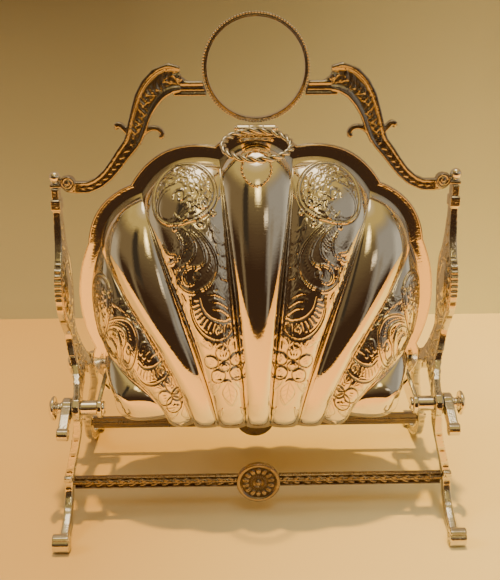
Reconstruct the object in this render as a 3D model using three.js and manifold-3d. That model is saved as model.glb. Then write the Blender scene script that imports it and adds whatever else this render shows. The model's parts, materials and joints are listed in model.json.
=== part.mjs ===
// Folding biscuit box: two fluted shell-shaped halves that fold open on a cast stand.
// Millimetres. X runs across the front, Y from front to rear, +Z is up.
// The origin is on the table, midway between the four feet.

import * as THREE from 'three';
import { mergeVertices } from 'three/addons/utils/BufferGeometryUtils.js';
import Module from 'manifold-3d';

const wasm = await Module();
wasm.setup();

// Fits
const GAP = 0.3; // between two pieces that sit on each other
const PIN_CLEARANCE = 0.3; // round every turning pin
const OVERRUN = 2; // how far a cutting tool runs past what it cuts

// Shell halves
const SHELL_HALF_WIDTH = 110;
const SHELL_FLOOR = 71; // lower edge of the flange
const SHELL_HEIGHT = 169;
const SHELL_DEPTH = 47;
const SHELL_WALL = 1.2;
const FLANGE_THICKNESS = 1.2;
const FLANGE_WIDTH = 8;
const FLANGE_FOOT_WIDTH = 6;
const BELLY_DROP = 19; // how far the bowl hangs below the flange

// Stand: places of the pivots, stretchers and feet in the side view
const PIVOT_REACH = 32; // from the middle plane to each pivot axis
const PIVOT_HEIGHT = 74.7;
const STRETCHER_REACH = 37.6;
const STRETCHER_HEIGHT = 25.5;
const FOOT_REACH = 73.2;
const FRAME_ROOM = 0.7; // the middle of each side frame stands this far outside the shell's widest lobe
const FRAME_OFFSET = SHELL_HALF_WIDTH + FRAME_ROOM;
const FRAME_THICKNESS = 4.2;
const LEG_WIDTH = 8;
const LEG_SPLAY = 7.8; // how far the feet stand out past the pivots
const LEG_SPLAY_END = 22; // the legs run straight down below this height
const BOSS_RADIUS = 8.6;
const JOINT_HEIGHT = 100; // where each standard stands on its side frame
const JOINT_HALF_WIDTH = 12;
const ARCH_HEIGHT = 87; // point of the arch between the legs
const ARCH_HALF_WIDTH = 27;
const FOOT_SCROLL_RADIUS = 4.4;
const FOOT_SCROLL_HEIGHT = 7.6;
const FOOT_SCROLL_LENGTH = 10;
const TOE_THICKNESS = 4.2;
const TOE_LENGTH = 15;
const LEG_CURL_RADIUS = 2.6;
const LEG_CURL_HEIGHT = 41;
const LEG_BAND_HEIGHT = 3;
const LEG_BAND_PROUD = 0.9;

// Standards and their finials
const SHELL_TOP = SHELL_FLOOR + SHELL_HEIGHT;
const POST_DROP = 35; // from the top of the shell to the top of each post
const POST_TOP = SHELL_TOP - POST_DROP;
const STANDARD_THICKNESS = 4;
const STANDARD_SPLAY = 8.5; // how far the posts stand out past the side frames
const STANDARD_SPLAY_RISE = 48.7; // the posts run straight up this far above the pivots' bosses
const CARTOUCHE_HALF_WIDTH = 19;
const POST_BLOCK_HEIGHT = 6;
const POST_BLOCK_DROP = 13; // from the top of the post to the foot of its block
const POST_BLOCK_PROUD = 0.9;
const FINIAL_STEM_RADIUS = 0.9;
const FINIAL_STEM_LENGTH = 9;
const FINIAL_COLLAR_RADIUS = 2.5;
const FINIAL_BALL_RADIUS = 3.4;

// Arched handle
const RING_RADIUS = 31; // outside of the carrying ring
const RING_BAND = 2.6;
const RING_CLEARANCE = 0.5; // over the lifting ring's knuckle
const RING_WIDTH = 5.6;
const RING_EDGE_SHARE = 0.22;
const VOLUTE_INSET = 7.6; // from the middle of the post to the middle of the volute
const VOLUTE_RISE = 2.9; // from the top of the post
const VOLUTE_RADIUS = 4.3;
const VOLUTE_THICKNESS = 6.4;
const ARM_THICKNESS = 4.6;
const ARM_WIDTH = 17.6; // at the leaf next to the ring
const ARM_NECK_DROP = 11.4; // from the middle of the ring
const ARM_NECK_WIDTH = 8.2;
const CURL_WIDTH = 3.2;
const LUG_THICKNESS = 2;
const LUG_WIDTH = 6;

// Stretchers
const STRETCHER_DEPTH = 8; // top to bottom
const STRETCHER_THICKNESS = 2.6;
const STRETCHER_BORDER = 1.1;
const STRETCHER_RELIEF = 0.6;
const TENON_RADIUS = 2;
const TENON_LENGTH = 4;
const ROSETTE_RADIUS = 13.8;
const ROSETTE_THICKNESS = 4;

// Pivot stacks, from the shell ear outwards
const PIN_RADIUS = 2.4;
const PIN_HEAD_RADIUS = 4;
const PIN_HEAD_THICKNESS = 1.5;
const EAR_INSET = 14.6; // from the shell's widest lobe to the inner face of each ear
const EAR_OFFSET = SHELL_HALF_WIDTH - EAR_INSET;
const EAR_THICKNESS = 2.7;
const EAR_RADIUS = 6.2;
const SPACER_RADIUS = 4.65;
const SCROLL_ARM_THICKNESS = 5;
const SCROLL_ARM_REACH = 20.5;
const SCROLL_ARM_DROP = 6.8;
const SCROLL_ARM_WIDTH = 9;
const SCROLL_ARM_EYE_RADIUS = 6.4;
const SCROLL_ARM_TIP_RADIUS = 3.8;
const COLLAR_RADIUS = 4.2;
const COLLAR_LENGTH = 3.4;
const KNOB_RADIUS = 7.5;
const KNOB_LENGTH = 5.2;
const KNOB_BORE_DEPTH = 3.2;

// Grilles inside the halves
const GRILLE_THICKNESS = 1;
const GRILLE_INSET = 2.2;
const GRILLE_SETBACK = 0.4;
const GRILLE_PIN_RADIUS = 1;
const GRILLE_PIN_HEIGHT = 81;
const GRILLE_PIN_REACH = 4;
const GRILLE_KNUCKLE_RADIUS = 2.2;
const GRILLE_LUG_THICKNESS = 2;
const GRILLE_LUG_OFFSET = 30;
const GRILLE_NOTCH_HEIGHT = 4;
const GRILLE_FOOT_DROP = 0.8;

// Rope-twist lifting ring at the top of the front half
const LIFT_HINGE_REACH = 4.8;
const LIFT_RING_RADIUS = 19; // to the middle of the cord
const LIFT_CORD_RADIUS = 1.7;
const LIFT_RING_TILT = THREE.MathUtils.degToRad(14);
const LIFT_NECK_LENGTH = 4;
const LIFT_PIN_RADIUS = 0.9;
const LIFT_KNUCKLE_RADIUS = 2;
const LIFT_KNUCKLE_HALF = 3.8; // half the length of the ring's own knuckle
const LIFT_BARREL_HALF = 11.2;
const LIFT_BALL_RADIUS = 1.5;
const LIFT_BASE_HEIGHT = 3.4;
const LIFT_HINGE_RISE = 0.2; // from the top of the shell to the axis of the ring's pin
const LIFT_HINGE_HEIGHT = SHELL_TOP + LIFT_HINGE_RISE;

// Counts
const TURN_STEPS = 12;
const FINE_TURN_STEPS = 20;
const RING_STEPS = 40;
const PATH_STEPS = 14;
const CURVE_STEPS = 4;
const FLUTE_STEPS = 4;
const BOWL_STEPS = 12;
const ROPE_STEPS = 60;
const ROPE_SIDES = 6;
const ROPE_TWISTS = 10;
const WELD = 1e-4;

const X_AXIS = new THREE.Vector3(1, 0, 0);
const Y_AXIS = new THREE.Vector3(0, 1, 0);
const Z_AXIS = new THREE.Vector3(0, 0, 1);
const HALF_TURN = Math.PI;
const QUARTER_TURN = Math.PI / 2;

const RING_HEIGHT = LIFT_HINGE_HEIGHT + LIFT_KNUCKLE_RADIUS + RING_CLEARANCE + RING_RADIUS;
const ARM_NECK_HEIGHT = RING_HEIGHT - ARM_NECK_DROP;
const VOLUTE_HEIGHT = POST_TOP + VOLUTE_RISE;
const VOLUTE_OFFSET = FRAME_OFFSET + STANDARD_SPLAY - VOLUTE_INSET;
const FRAME_INNER = FRAME_OFFSET - FRAME_THICKNESS / 2;
const FRAME_OUTER = FRAME_OFFSET + FRAME_THICKNESS / 2;
const EAR_OUTER = EAR_OFFSET + EAR_THICKNESS;
const BORE_RADIUS = PIN_RADIUS + PIN_CLEARANCE;

// Materials

function metal(color, roughness) {
  return new THREE.MeshStandardMaterial({ color, roughness, metalness: 1 });
}

const finishes = {
  polished: () => metal(0xd8cfbd, 0.12),
  cast: () => metal(0xb7a88e, 0.3),
  inside: () => metal(0xdccfae, 0.2),
  pin: () => metal(0xc0b8a8, 0.25),
};

// Shared shaping tools

function welded(geometry) {
  const plain = geometry.clone();
  plain.deleteAttribute('normal');
  plain.deleteAttribute('uv');
  return mergeVertices(plain, WELD);
}

function solidOf(geometry) {
  const closed = welded(geometry);
  return new wasm.Manifold(new wasm.Mesh({
    numProp: 3,
    vertProperties: new Float32Array(closed.attributes.position.array),
    triVerts: new Uint32Array(closed.index.array),
  }));
}

function geometryOf(solid) {
  const mesh = solid.getMesh();
  const geometry = new THREE.BufferGeometry();
  geometry.setAttribute('position', new THREE.BufferAttribute(mesh.vertProperties, mesh.numProp));
  geometry.setIndex(new THREE.BufferAttribute(mesh.triVerts, 1));
  geometry.computeVertexNormals();
  return geometry;
}

function joined(...geometries) {
  return geometries.map(solidOf).reduce((whole, next) => whole.add(next));
}

// A plate drawn in (y, z) with its thickness along x, centred on x = 0.
function plateAcross(shape, thickness) {
  const geometry = new THREE.ExtrudeGeometry(shape, {
    depth: thickness, bevelEnabled: false, curveSegments: CURVE_STEPS,
  });
  geometry.translate(0, 0, -thickness / 2);
  geometry.applyMatrix4(new THREE.Matrix4().makeBasis(Y_AXIS, Z_AXIS, X_AXIS));
  return geometry;
}

// A plate drawn in (x, z) with its thickness along y, centred on y = 0.
function plateFacing(shape, thickness) {
  const geometry = new THREE.ExtrudeGeometry(shape, {
    depth: thickness, bevelEnabled: false, curveSegments: CURVE_STEPS,
  });
  geometry.translate(0, 0, -thickness / 2);
  geometry.applyMatrix4(new THREE.Matrix4().makeBasis(X_AXIS, Z_AXIS, Y_AXIS.clone().negate()));
  return geometry;
}

function block(sizeX, sizeY, sizeZ, x, y, z) {
  return new THREE.BoxGeometry(sizeX, sizeY, sizeZ).translate(x, y, z);
}

// A turned piece from [radius, along] pairs, with its axis along x.
function turnedAlongX(profile, steps = TURN_STEPS) {
  return turnedAlongY(profile, steps).rotateZ(-QUARTER_TURN);
}

function turnedAlongZ(profile, steps = TURN_STEPS) {
  return turnedAlongY(profile, steps).rotateX(QUARTER_TURN);
}

function turnedAlongY(profile, steps = TURN_STEPS) {
  const points = profile.map(([radius, along]) => new THREE.Vector2(radius, along));
  return new THREE.LatheGeometry(points, steps);
}

function rodProfile(radius, start, end) {
  return [[0, start], [radius, start], [radius, end], [0, end]];
}

function tubeProfile(inner, outer, start, end) {
  return [[inner, start], [outer, start], [outer, end], [inner, end], [inner, start]];
}

function smoothPath(points, steps = PATH_STEPS) {
  const path = new THREE.CatmullRomCurve3(points.map(([u, v]) => new THREE.Vector3(u, v, 0)));
  return path.getPoints(steps).map((p) => [p.x, p.y]);
}

// A strip of changing width along a smooth path; its widths are eased between its stations.
function ribbonShape(points, widths, steps = PATH_STEPS) {
  const stations = points.map(([u, v], i) => new THREE.Vector3(u, v, widths[i]));
  const path = new THREE.CatmullRomCurve3(stations);
  const left = [];
  const right = [];
  for (let i = 0; i <= steps; i += 1) {
    const at = path.getPoint(i / steps);
    const along = path.getTangent(i / steps);
    const side = new THREE.Vector2(-along.y, along.x).normalize().multiplyScalar(at.z / 2);
    left.push(new THREE.Vector2(at.x + side.x, at.y + side.y));
    right.unshift(new THREE.Vector2(at.x - side.x, at.y - side.y));
  }
  return new THREE.Shape([...left, ...right]);
}

// Side frames and standards

// The castings lean outwards above and below the pivots.
function splayAt(height) {
  const waist = PIVOT_HEIGHT - BOSS_RADIUS;
  const shoulder = PIVOT_HEIGHT + BOSS_RADIUS;
  if (height < waist) {
    return LEG_SPLAY * THREE.MathUtils.smoothstep(waist - height, 0, waist - LEG_SPLAY_END);
  }
  const left = (shoulder + STANDARD_SPLAY_RISE - height) / STANDARD_SPLAY_RISE;
  return STANDARD_SPLAY * (1 - THREE.MathUtils.clamp(left, 0, 1) ** 2);
}

function splayed(geometry) {
  const place = geometry.attributes.position;
  for (let i = 0; i < place.count; i += 1) {
    place.setX(i, place.getX(i) + splayAt(place.getZ(i)));
  }
  geometry.computeVertexNormals();
  return geometry;
}

// Each pair is a share of the reach and a share of the drop between two named places.
const UPPER_LEG_SHARES = [[0.3, 0.3], [0.6, 0.64]];
const LOWER_LEG_SHARES = [[0.09, 0.38], [0.34, 0.72], [0.7, 0.93]];
const LEG_WIDTH_SHARES = [1.5, 1.1, 0.92, 0.95, 0.9, 0.82, 0.66, 0.52];

function legPath() {
  const upper = UPPER_LEG_SHARES.map(([reach, drop]) => [
    PIVOT_REACH + reach * (STRETCHER_REACH - PIVOT_REACH),
    PIVOT_HEIGHT - drop * (PIVOT_HEIGHT - STRETCHER_HEIGHT),
  ]);
  const lower = LOWER_LEG_SHARES.map(([reach, drop]) => [
    STRETCHER_REACH + reach * (FOOT_REACH - STRETCHER_REACH),
    STRETCHER_HEIGHT - drop * (STRETCHER_HEIGHT - TOE_THICKNESS / 2),
  ]);
  return [
    [PIVOT_REACH, PIVOT_HEIGHT], ...upper,
    [STRETCHER_REACH, STRETCHER_HEIGHT], ...lower,
    [FOOT_REACH, TOE_THICKNESS / 2],
  ];
}

function legSolid(direction) {
  const path = legPath().map(([y, z]) => [direction * y, z]);
  const widths = LEG_WIDTH_SHARES.map((share) => share * LEG_WIDTH);
  const leg = plateAcross(ribbonShape(path, widths), FRAME_THICKNESS);
  const toeMiddle = FOOT_REACH - TOE_LENGTH / 2 + FOOT_SCROLL_RADIUS;
  const toe = block(FRAME_THICKNESS, TOE_LENGTH, TOE_THICKNESS, 0, direction * toeMiddle, TOE_THICKNESS / 2);
  const scroll = turnedAlongX(rodProfile(FOOT_SCROLL_RADIUS, -FOOT_SCROLL_LENGTH / 2, FOOT_SCROLL_LENGTH / 2));
  scroll.translate(0, direction * FOOT_REACH, FOOT_SCROLL_HEIGHT);
  const curl = turnedAlongX(rodProfile(LEG_CURL_RADIUS, -FRAME_THICKNESS / 2, FRAME_THICKNESS / 2));
  const curlReach = PIVOT_REACH - LEG_WIDTH * LEG_CURL_SHARE;
  curl.translate(0, direction * curlReach, LEG_CURL_HEIGHT);
  const bandWidth = LEG_WIDTH + LEG_BAND_PROUD * 2;
  const band = block(FRAME_THICKNESS + LEG_BAND_PROUD, bandWidth, LEG_BAND_HEIGHT,
    LEG_BAND_PROUD / 2, direction * STRETCHER_REACH, STRETCHER_HEIGHT + STRETCHER_DEPTH / 2);
  return joined(leg, toe, scroll, curl, band);
}

const LEG_CURL_SHARE = 0.25;
const SHOULDER_SHARE = 0.35;

function crossPlate() {
  const shoulder = PIVOT_HEIGHT + BOSS_RADIUS;
  const rise = JOINT_HEIGHT - shoulder;
  const waist = PIVOT_HEIGHT - BOSS_RADIUS;
  const shape = new THREE.Shape();
  shape.moveTo(-JOINT_HALF_WIDTH, JOINT_HEIGHT);
  shape.quadraticCurveTo(-JOINT_HALF_WIDTH, shoulder + rise * SHOULDER_SHARE, -PIVOT_REACH, shoulder);
  shape.lineTo(-PIVOT_REACH, waist);
  shape.lineTo(-ARCH_HALF_WIDTH, waist);
  shape.quadraticCurveTo(-ARCH_HALF_WIDTH, PIVOT_HEIGHT + rise * SHOULDER_SHARE, 0, ARCH_HEIGHT);
  shape.quadraticCurveTo(ARCH_HALF_WIDTH, PIVOT_HEIGHT + rise * SHOULDER_SHARE, ARCH_HALF_WIDTH, waist);
  shape.lineTo(PIVOT_REACH, waist);
  shape.lineTo(PIVOT_REACH, shoulder);
  shape.quadraticCurveTo(JOINT_HALF_WIDTH, shoulder + rise * SHOULDER_SHARE, JOINT_HALF_WIDTH, JOINT_HEIGHT);
  return plateAcross(shape, FRAME_THICKNESS);
}

function sideFrame() {
  let frame = solidOf(crossPlate());
  const deep = FRAME_THICKNESS / 2 + FOOT_SCROLL_LENGTH;
  for (const direction of [-1, 1]) {
    const boss = turnedAlongX(rodProfile(BOSS_RADIUS, -FRAME_THICKNESS / 2, FRAME_THICKNESS / 2));
    boss.translate(0, direction * PIVOT_REACH, PIVOT_HEIGHT);
    frame = frame.add(legSolid(direction)).add(solidOf(boss));
  }
  for (const direction of [-1, 1]) {
    const bore = turnedAlongX(rodProfile(BORE_RADIUS, -deep, deep));
    bore.translate(0, direction * PIVOT_REACH, PIVOT_HEIGHT);
    const socket = turnedAlongX(rodProfile(TENON_RADIUS + GAP, -deep, deep));
    socket.translate(0, direction * STRETCHER_REACH, STRETCHER_HEIGHT);
    frame = frame.subtract(solidOf(bore)).subtract(solidOf(socket));
  }
  const under = block(deep * 2, (FOOT_REACH + deep) * 2, deep, 0, 0, -deep / 2);
  return splayed(geometryOf(frame.subtract(solidOf(under))));
}

// Pairs of height share and half-width share up each standard.
const STANDARD_SHARES = [
  [0, 0.63], [0.06, 0.5], [0.13, 0.46], [0.21, 0.68], [0.3, 0.93], [0.41, 1],
  [0.52, 0.9], [0.6, 0.58], [0.69, 0.37], [0.79, 0.26], [0.88, 0.22], [1, 0.22],
];

function standard() {
  const bottom = JOINT_HEIGHT + GAP;
  const tall = POST_TOP - bottom;
  const points = STANDARD_SHARES.map(([height]) => [0, bottom + height * tall]);
  const widths = STANDARD_SHARES.map(([, width]) => 2 * width * CARTOUCHE_HALF_WIDTH);
  const blade = plateAcross(ribbonShape(points, widths, PATH_STEPS * 2), STANDARD_THICKNESS);
  const postWidth = widths[widths.length - 1];
  const knop = block(STANDARD_THICKNESS + POST_BLOCK_PROUD * 2, postWidth + POST_BLOCK_PROUD * 2,
    POST_BLOCK_HEIGHT, 0, 0, POST_TOP - POST_BLOCK_DROP + POST_BLOCK_HEIGHT / 2);
  const hole = turnedAlongZ(rodProfile(FINIAL_STEM_RADIUS + GAP, POST_TOP - FINIAL_STEM_LENGTH, POST_TOP + OVERRUN));
  const post = splayed(geometryOf(joined(blade, knop)));
  hole.translate(splayAt(POST_TOP), 0, 0);
  return geometryOf(solidOf(post).subtract(solidOf(hole)));
}

function finial() {
  const seat = POST_TOP + GAP + LUG_THICKNESS + GAP;
  const collarTop = seat + FINIAL_COLLAR_RADIUS * FINIAL_COLLAR_SHARE;
  const centre = collarTop + FINIAL_BALL_RADIUS * FINIAL_SINK_SHARE;
  const profile = [
    [0, POST_TOP - FINIAL_STEM_LENGTH + GAP],
    [FINIAL_STEM_RADIUS, POST_TOP - FINIAL_STEM_LENGTH + GAP],
    [FINIAL_STEM_RADIUS, seat],
    [FINIAL_COLLAR_RADIUS, seat],
    [FINIAL_COLLAR_RADIUS, collarTop],
  ];
  for (const angle of FINIAL_ANGLES) {
    profile.push([FINIAL_BALL_RADIUS * Math.cos(angle), centre + FINIAL_BALL_RADIUS * Math.sin(angle)]);
  }
  profile.push([0, centre + FINIAL_BALL_RADIUS]);
  return turnedAlongZ(profile);
}

const FINIAL_COLLAR_SHARE = 0.4;
const FINIAL_SINK_SHARE = 0.8;
const FINIAL_ANGLES = [-50, -20, 10, 40, 65].map((degrees) => THREE.MathUtils.degToRad(degrees));

// Handle: two scroll arms and the carrying ring

// Each pair is a share of the way in from the volute to the ring and a share of the rise to the neck.
const ARM_PATH_SHARES = [
  [0.05, -0.05], [0.17, -0.04], [0.27, 0.05], [0.35, 0.18], [0.42, 0.32], [0.49, 0.45],
  [0.525, 0.59], [0.56, 0.74], [0.61, 0.9], [0.68, 1.03], [0.76, 1.1], [0.85, 1.1],
];
const ARM_WIDTH_SHARES = [0.4, 0.39, 0.41, 0.45, 0.49, 0.54, 0.64, 0.7, 0.84, 0.94, 1, 0.78];
const INNER_CURL_SHARES = [[0.53, 0.44], [0.58, 0.55], [0.64, 0.59], [0.69, 0.57], [0.71, 0.52], [0.69, 0.48]];
const OUTER_CURL_SHARES = [[0.5, 0.5], [0.44, 0.58], [0.4, 0.63], [0.37, 0.61]];
const CURL_WIDTH_SHARES = [1.4, 1, 0.9, 0.85, 0.8, 0.7];
const NECK_START_SHARE = 0.8;

function armPoint([inward, upward]) {
  return [
    VOLUTE_OFFSET - inward * (VOLUTE_OFFSET - RING_RADIUS),
    VOLUTE_HEIGHT + upward * (ARM_NECK_HEIGHT - VOLUTE_HEIGHT),
  ];
}

function armStrip(shares, widthShares, width) {
  const widths = shares.map((pair, i) => widthShares[i] * width);
  return plateFacing(ribbonShape(shares.map(armPoint), widths), ARM_THICKNESS);
}

function handleArm() {
  const [neckStart] = armPoint([NECK_START_SHARE, 1]);
  const neckEnd = RING_RADIUS - RING_BAND;
  const neck = block(neckStart - neckEnd, ARM_THICKNESS, ARM_NECK_WIDTH, (neckStart + neckEnd) / 2, 0, ARM_NECK_HEIGHT);
  const volute = turnedAlongY(rodProfile(VOLUTE_RADIUS, -VOLUTE_THICKNESS / 2, VOLUTE_THICKNESS / 2));
  volute.translate(VOLUTE_OFFSET, 0, VOLUTE_HEIGHT);
  const postMiddle = FRAME_OFFSET + STANDARD_SPLAY;
  const lugEnd = postMiddle + LUG_WIDTH / 2;
  const lugMiddle = (VOLUTE_OFFSET + lugEnd) / 2;
  const lugHeight = POST_TOP + GAP + LUG_THICKNESS / 2;
  const lug = block(lugEnd - VOLUTE_OFFSET, LUG_WIDTH, LUG_THICKNESS, lugMiddle, 0, lugHeight);
  const hole = turnedAlongZ(rodProfile(FINIAL_STEM_RADIUS + GAP, lugHeight - LUG_THICKNESS, lugHeight + LUG_THICKNESS));
  hole.translate(postMiddle, 0, 0);
  const ringSpace = turnedAlongY(rodProfile(RING_RADIUS + GAP, -RING_WIDTH, RING_WIDTH), RING_STEPS);
  ringSpace.translate(0, 0, RING_HEIGHT);
  const arm = joined(
    armStrip(ARM_PATH_SHARES, ARM_WIDTH_SHARES, ARM_WIDTH),
    armStrip(INNER_CURL_SHARES, CURL_WIDTH_SHARES, CURL_WIDTH),
    armStrip(OUTER_CURL_SHARES, CURL_WIDTH_SHARES, CURL_WIDTH),
    neck, volute, lug,
  );
  return geometryOf(arm.subtract(solidOf(hole)).subtract(solidOf(ringSpace)));
}

function carryingRing() {
  const inner = RING_RADIUS - RING_BAND;
  const half = RING_WIDTH / 2;
  const edge = RING_WIDTH * RING_EDGE_SHARE;
  const profile = [
    [inner, -half], [RING_RADIUS - edge, -half], [RING_RADIUS, -half + edge],
    [RING_RADIUS, half - edge], [RING_RADIUS - edge, half], [inner, half], [inner, -half],
  ];
  return turnedAlongY(profile, RING_STEPS).translate(0, 0, RING_HEIGHT);
}

// Stretchers and rosettes

function stretcher() {
  const faceAt = FRAME_INNER + splayAt(STRETCHER_HEIGHT + STRETCHER_DEPTH) - GAP;
  const half = STRETCHER_DEPTH / 2;
  const back = STRETCHER_THICKNESS / 2;
  const border = half - STRETCHER_BORDER;
  const shape = new THREE.Shape([
    [back, -half], [back, half], [-back - STRETCHER_RELIEF, half], [-back - STRETCHER_RELIEF, border],
    [-back, border], [-back, -border], [-back - STRETCHER_RELIEF, -border], [-back - STRETCHER_RELIEF, -half],
  ].map(([y, z]) => new THREE.Vector2(y, z)));
  const bar = plateAcross(shape, faceAt * 2);
  const tenons = turnedAlongX(rodProfile(TENON_RADIUS, -faceAt - TENON_LENGTH, faceAt + TENON_LENGTH));
  return geometryOf(joined(bar, tenons));
}

// Pairs of radius share and thickness share across the face of a rosette.
const ROSETTE_SHARES = [
  [1, 0], [1, 0.35], [0.93, 0.5], [0.85, 0.36], [0.7, 0.42], [0.5, 0.62], [0.3, 0.5], [0.24, 0.85], [0, 1],
];

function rosette() {
  const profile = [[0, 0], ...ROSETTE_SHARES.map(([radius, face]) => [radius * ROSETTE_RADIUS, face * ROSETTE_THICKNESS])];
  return turnedAlongY(profile, FINE_TURN_STEPS);
}

// Pieces on the four pivot axes

function pivotPin() {
  const headStart = EAR_OFFSET - GAP - PIN_HEAD_THICKNESS;
  const end = KNOB_START + KNOB_BORE_DEPTH - GAP;
  return turnedAlongX([
    [0, headStart], [PIN_HEAD_RADIUS, headStart], [PIN_HEAD_RADIUS, EAR_OFFSET - GAP],
    [PIN_RADIUS, EAR_OFFSET - GAP], [PIN_RADIUS, end], [0, end],
  ]);
}

function spacerTube() {
  return turnedAlongX(tubeProfile(BORE_RADIUS, SPACER_RADIUS, EAR_OUTER + GAP, FRAME_INNER - GAP));
}

// Pairs of share of the reach and share of the drop along a scroll arm.
const SCROLL_ARM_SHARES = [[0, 0], [0.3, 0.1], [0.65, 0.5], [1, 1]];
const SCROLL_ARM_WIDTH_SHARES = [1, 0.9, 0.75, 0.7];

function scrollArm() {
  const half = SCROLL_ARM_THICKNESS / 2;
  const path = SCROLL_ARM_SHARES.map(([reach, drop]) => [-reach * SCROLL_ARM_REACH, -drop * SCROLL_ARM_DROP]);
  const widths = SCROLL_ARM_WIDTH_SHARES.map((share) => share * SCROLL_ARM_WIDTH);
  const blade = plateAcross(ribbonShape(path, widths, CURVE_STEPS), SCROLL_ARM_THICKNESS);
  const eye = turnedAlongX(rodProfile(SCROLL_ARM_EYE_RADIUS, -half, half));
  const tip = turnedAlongX(rodProfile(SCROLL_ARM_TIP_RADIUS, -half - LEG_BAND_PROUD, half + LEG_BAND_PROUD));
  tip.translate(0, -SCROLL_ARM_REACH, -SCROLL_ARM_DROP);
  const bore = turnedAlongX(rodProfile(BORE_RADIUS, -SCROLL_ARM_THICKNESS, SCROLL_ARM_THICKNESS));
  return geometryOf(joined(blade, eye, tip).subtract(solidOf(bore)));
}

const ARM_START = FRAME_OUTER + GAP + LEG_BAND_PROUD;
const COLLAR_START = ARM_START + SCROLL_ARM_THICKNESS + GAP;
const KNOB_START = COLLAR_START + COLLAR_LENGTH + GAP;

function collar() {
  const waist = (BORE_RADIUS + COLLAR_RADIUS) / 2;
  const end = COLLAR_START + COLLAR_LENGTH;
  const lip = COLLAR_LENGTH / 3;
  return turnedAlongX([
    [BORE_RADIUS, COLLAR_START], [COLLAR_RADIUS, COLLAR_START], [COLLAR_RADIUS, COLLAR_START + lip],
    [waist, COLLAR_START + lip * 2], [waist, end], [BORE_RADIUS, end], [BORE_RADIUS, COLLAR_START],
  ]);
}

// Pairs of radius share and length share over a mushroom nut.
const KNOB_SHARES = [[0.5, 0], [0.55, 0.14], [0.9, 0.18], [1, 0.38], [0.93, 0.62], [0.62, 0.88], [0, 1]];

function knob() {
  const outer = KNOB_SHARES.map(([radius, along]) => [radius * KNOB_RADIUS, KNOB_START + along * KNOB_LENGTH]);
  return turnedAlongX([
    [0, KNOB_START + KNOB_BORE_DEPTH], [BORE_RADIUS, KNOB_START + KNOB_BORE_DEPTH], [BORE_RADIUS, KNOB_START], ...outer,
  ]);
}

// Shell halves. The shell is drawn for the front: its bowl runs towards -y from a flange at y = 0.

// Corners between the lobes of the flange, from the middle outwards: shares of half-width and height.
const NOTCH_SHARES = [[0.218, 0.935], [0.677, 0.802], [0.927, 0.592], [0.932, 0.178], [0.908, 0.062]];
// The same places along the foot of the flange.
const FOOT_SHARES = [0.066, 0.218, 0.36, 0.52, 0.87];
// How far each lobe of the outline swells past the line between its corners, from the middle outwards.
const LOBE_SWELL_SHARES = [0.1, 0.087, 0.062, 0.069, 0.03];
// How deep each flute is, from the middle outwards.
const FLUTE_DEPTH_SHARES = [1, 0.98, 0.92, 0.8, 0.66];
const VALLEY_SHARE = 0.8;
// Bowl section from the foot of the flange to its top: share along the flute, share of the depth
// and share of the belly's drop.
const BOWL_SHARES = [
  [0, 0, 0], [0, 0.16, 0.45], [0, 0.38, 0.85], [0.01, 0.62, 1], [0.03, 0.82, 0.95], [0.06, 0.94, 0.75],
  [0.13, 1, 0.4], [0.28, 1, 0.1], [0.45, 0.94, 0], [0.62, 0.82, 0], [0.78, 0.65, 0], [0.9, 0.45, 0],
  [0.97, 0.22, 0], [1, 0, 0],
];
const LOBES = FLUTE_DEPTH_SHARES.length;
const FLANGE_CENTRE_SHARE = 0.47;
const FOOT_NARROWING = 1 - FLANGE_FOOT_WIDTH / SHELL_HALF_WIDTH;

function notchPoint(index) {
  const [across, up] = NOTCH_SHARES[index];
  return new THREE.Vector2(across * SHELL_HALF_WIDTH, SHELL_FLOOR + up * SHELL_HEIGHT);
}

function footPoint(index) {
  return new THREE.Vector2(FOOT_SHARES[index] * SHELL_HALF_WIDTH, SHELL_FLOOR);
}

function mirroredX(point) {
  return new THREE.Vector2(-point.x, point.y);
}

// The two ends of a flute's edge line: lobe 0 is the middle one, and side -1 or 1 is its left or right edge.
function edgeLine(lobe, side) {
  if (lobe === 0) {
    const right = [footPoint(0), notchPoint(0)];
    return side > 0 ? right : right.map(mirroredX);
  }
  const index = Math.abs(lobe) + (Math.sign(lobe) === side ? 0 : -1);
  const line = [footPoint(index), notchPoint(index)];
  return lobe > 0 ? line : line.map(mirroredX);
}

// Outline points of the flange at one place across a flute, v from -1 to 1.
function outlineAt(lobe, v) {
  const [footA, topA] = edgeLine(lobe, -1);
  const [footB, topB] = edgeLine(lobe, 1);
  const share = (v + 1) / 2;
  const foot = footA.clone().lerp(footB, share);
  const top = topA.clone().lerp(topB, share);
  const chord = topB.clone().sub(topA).normalize();
  const outward = new THREE.Vector2(-chord.y, chord.x);
  const swell = LOBE_SWELL_SHARES[Math.abs(lobe)] * SHELL_HALF_WIDTH * (1 - v * v);
  top.addScaledVector(outward, swell);
  return { foot, top };
}

function inwardStep(point, width) {
  const height = SHELL_FLOOR + FLANGE_CENTRE_SHARE * SHELL_HEIGHT;
  const centre = new THREE.Vector2(0, Math.min(height, point.y));
  return point.clone().addScaledVector(centre.sub(point).normalize(), width);
}

function innerEdgeAt(lobe, v, inset = 0) {
  const { foot, top } = outlineAt(lobe, v);
  return {
    foot: new THREE.Vector2(foot.x * FOOT_NARROWING, foot.y + FLANGE_FOOT_WIDTH + inset),
    top: inwardStep(top, FLANGE_WIDTH + inset),
  };
}

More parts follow.
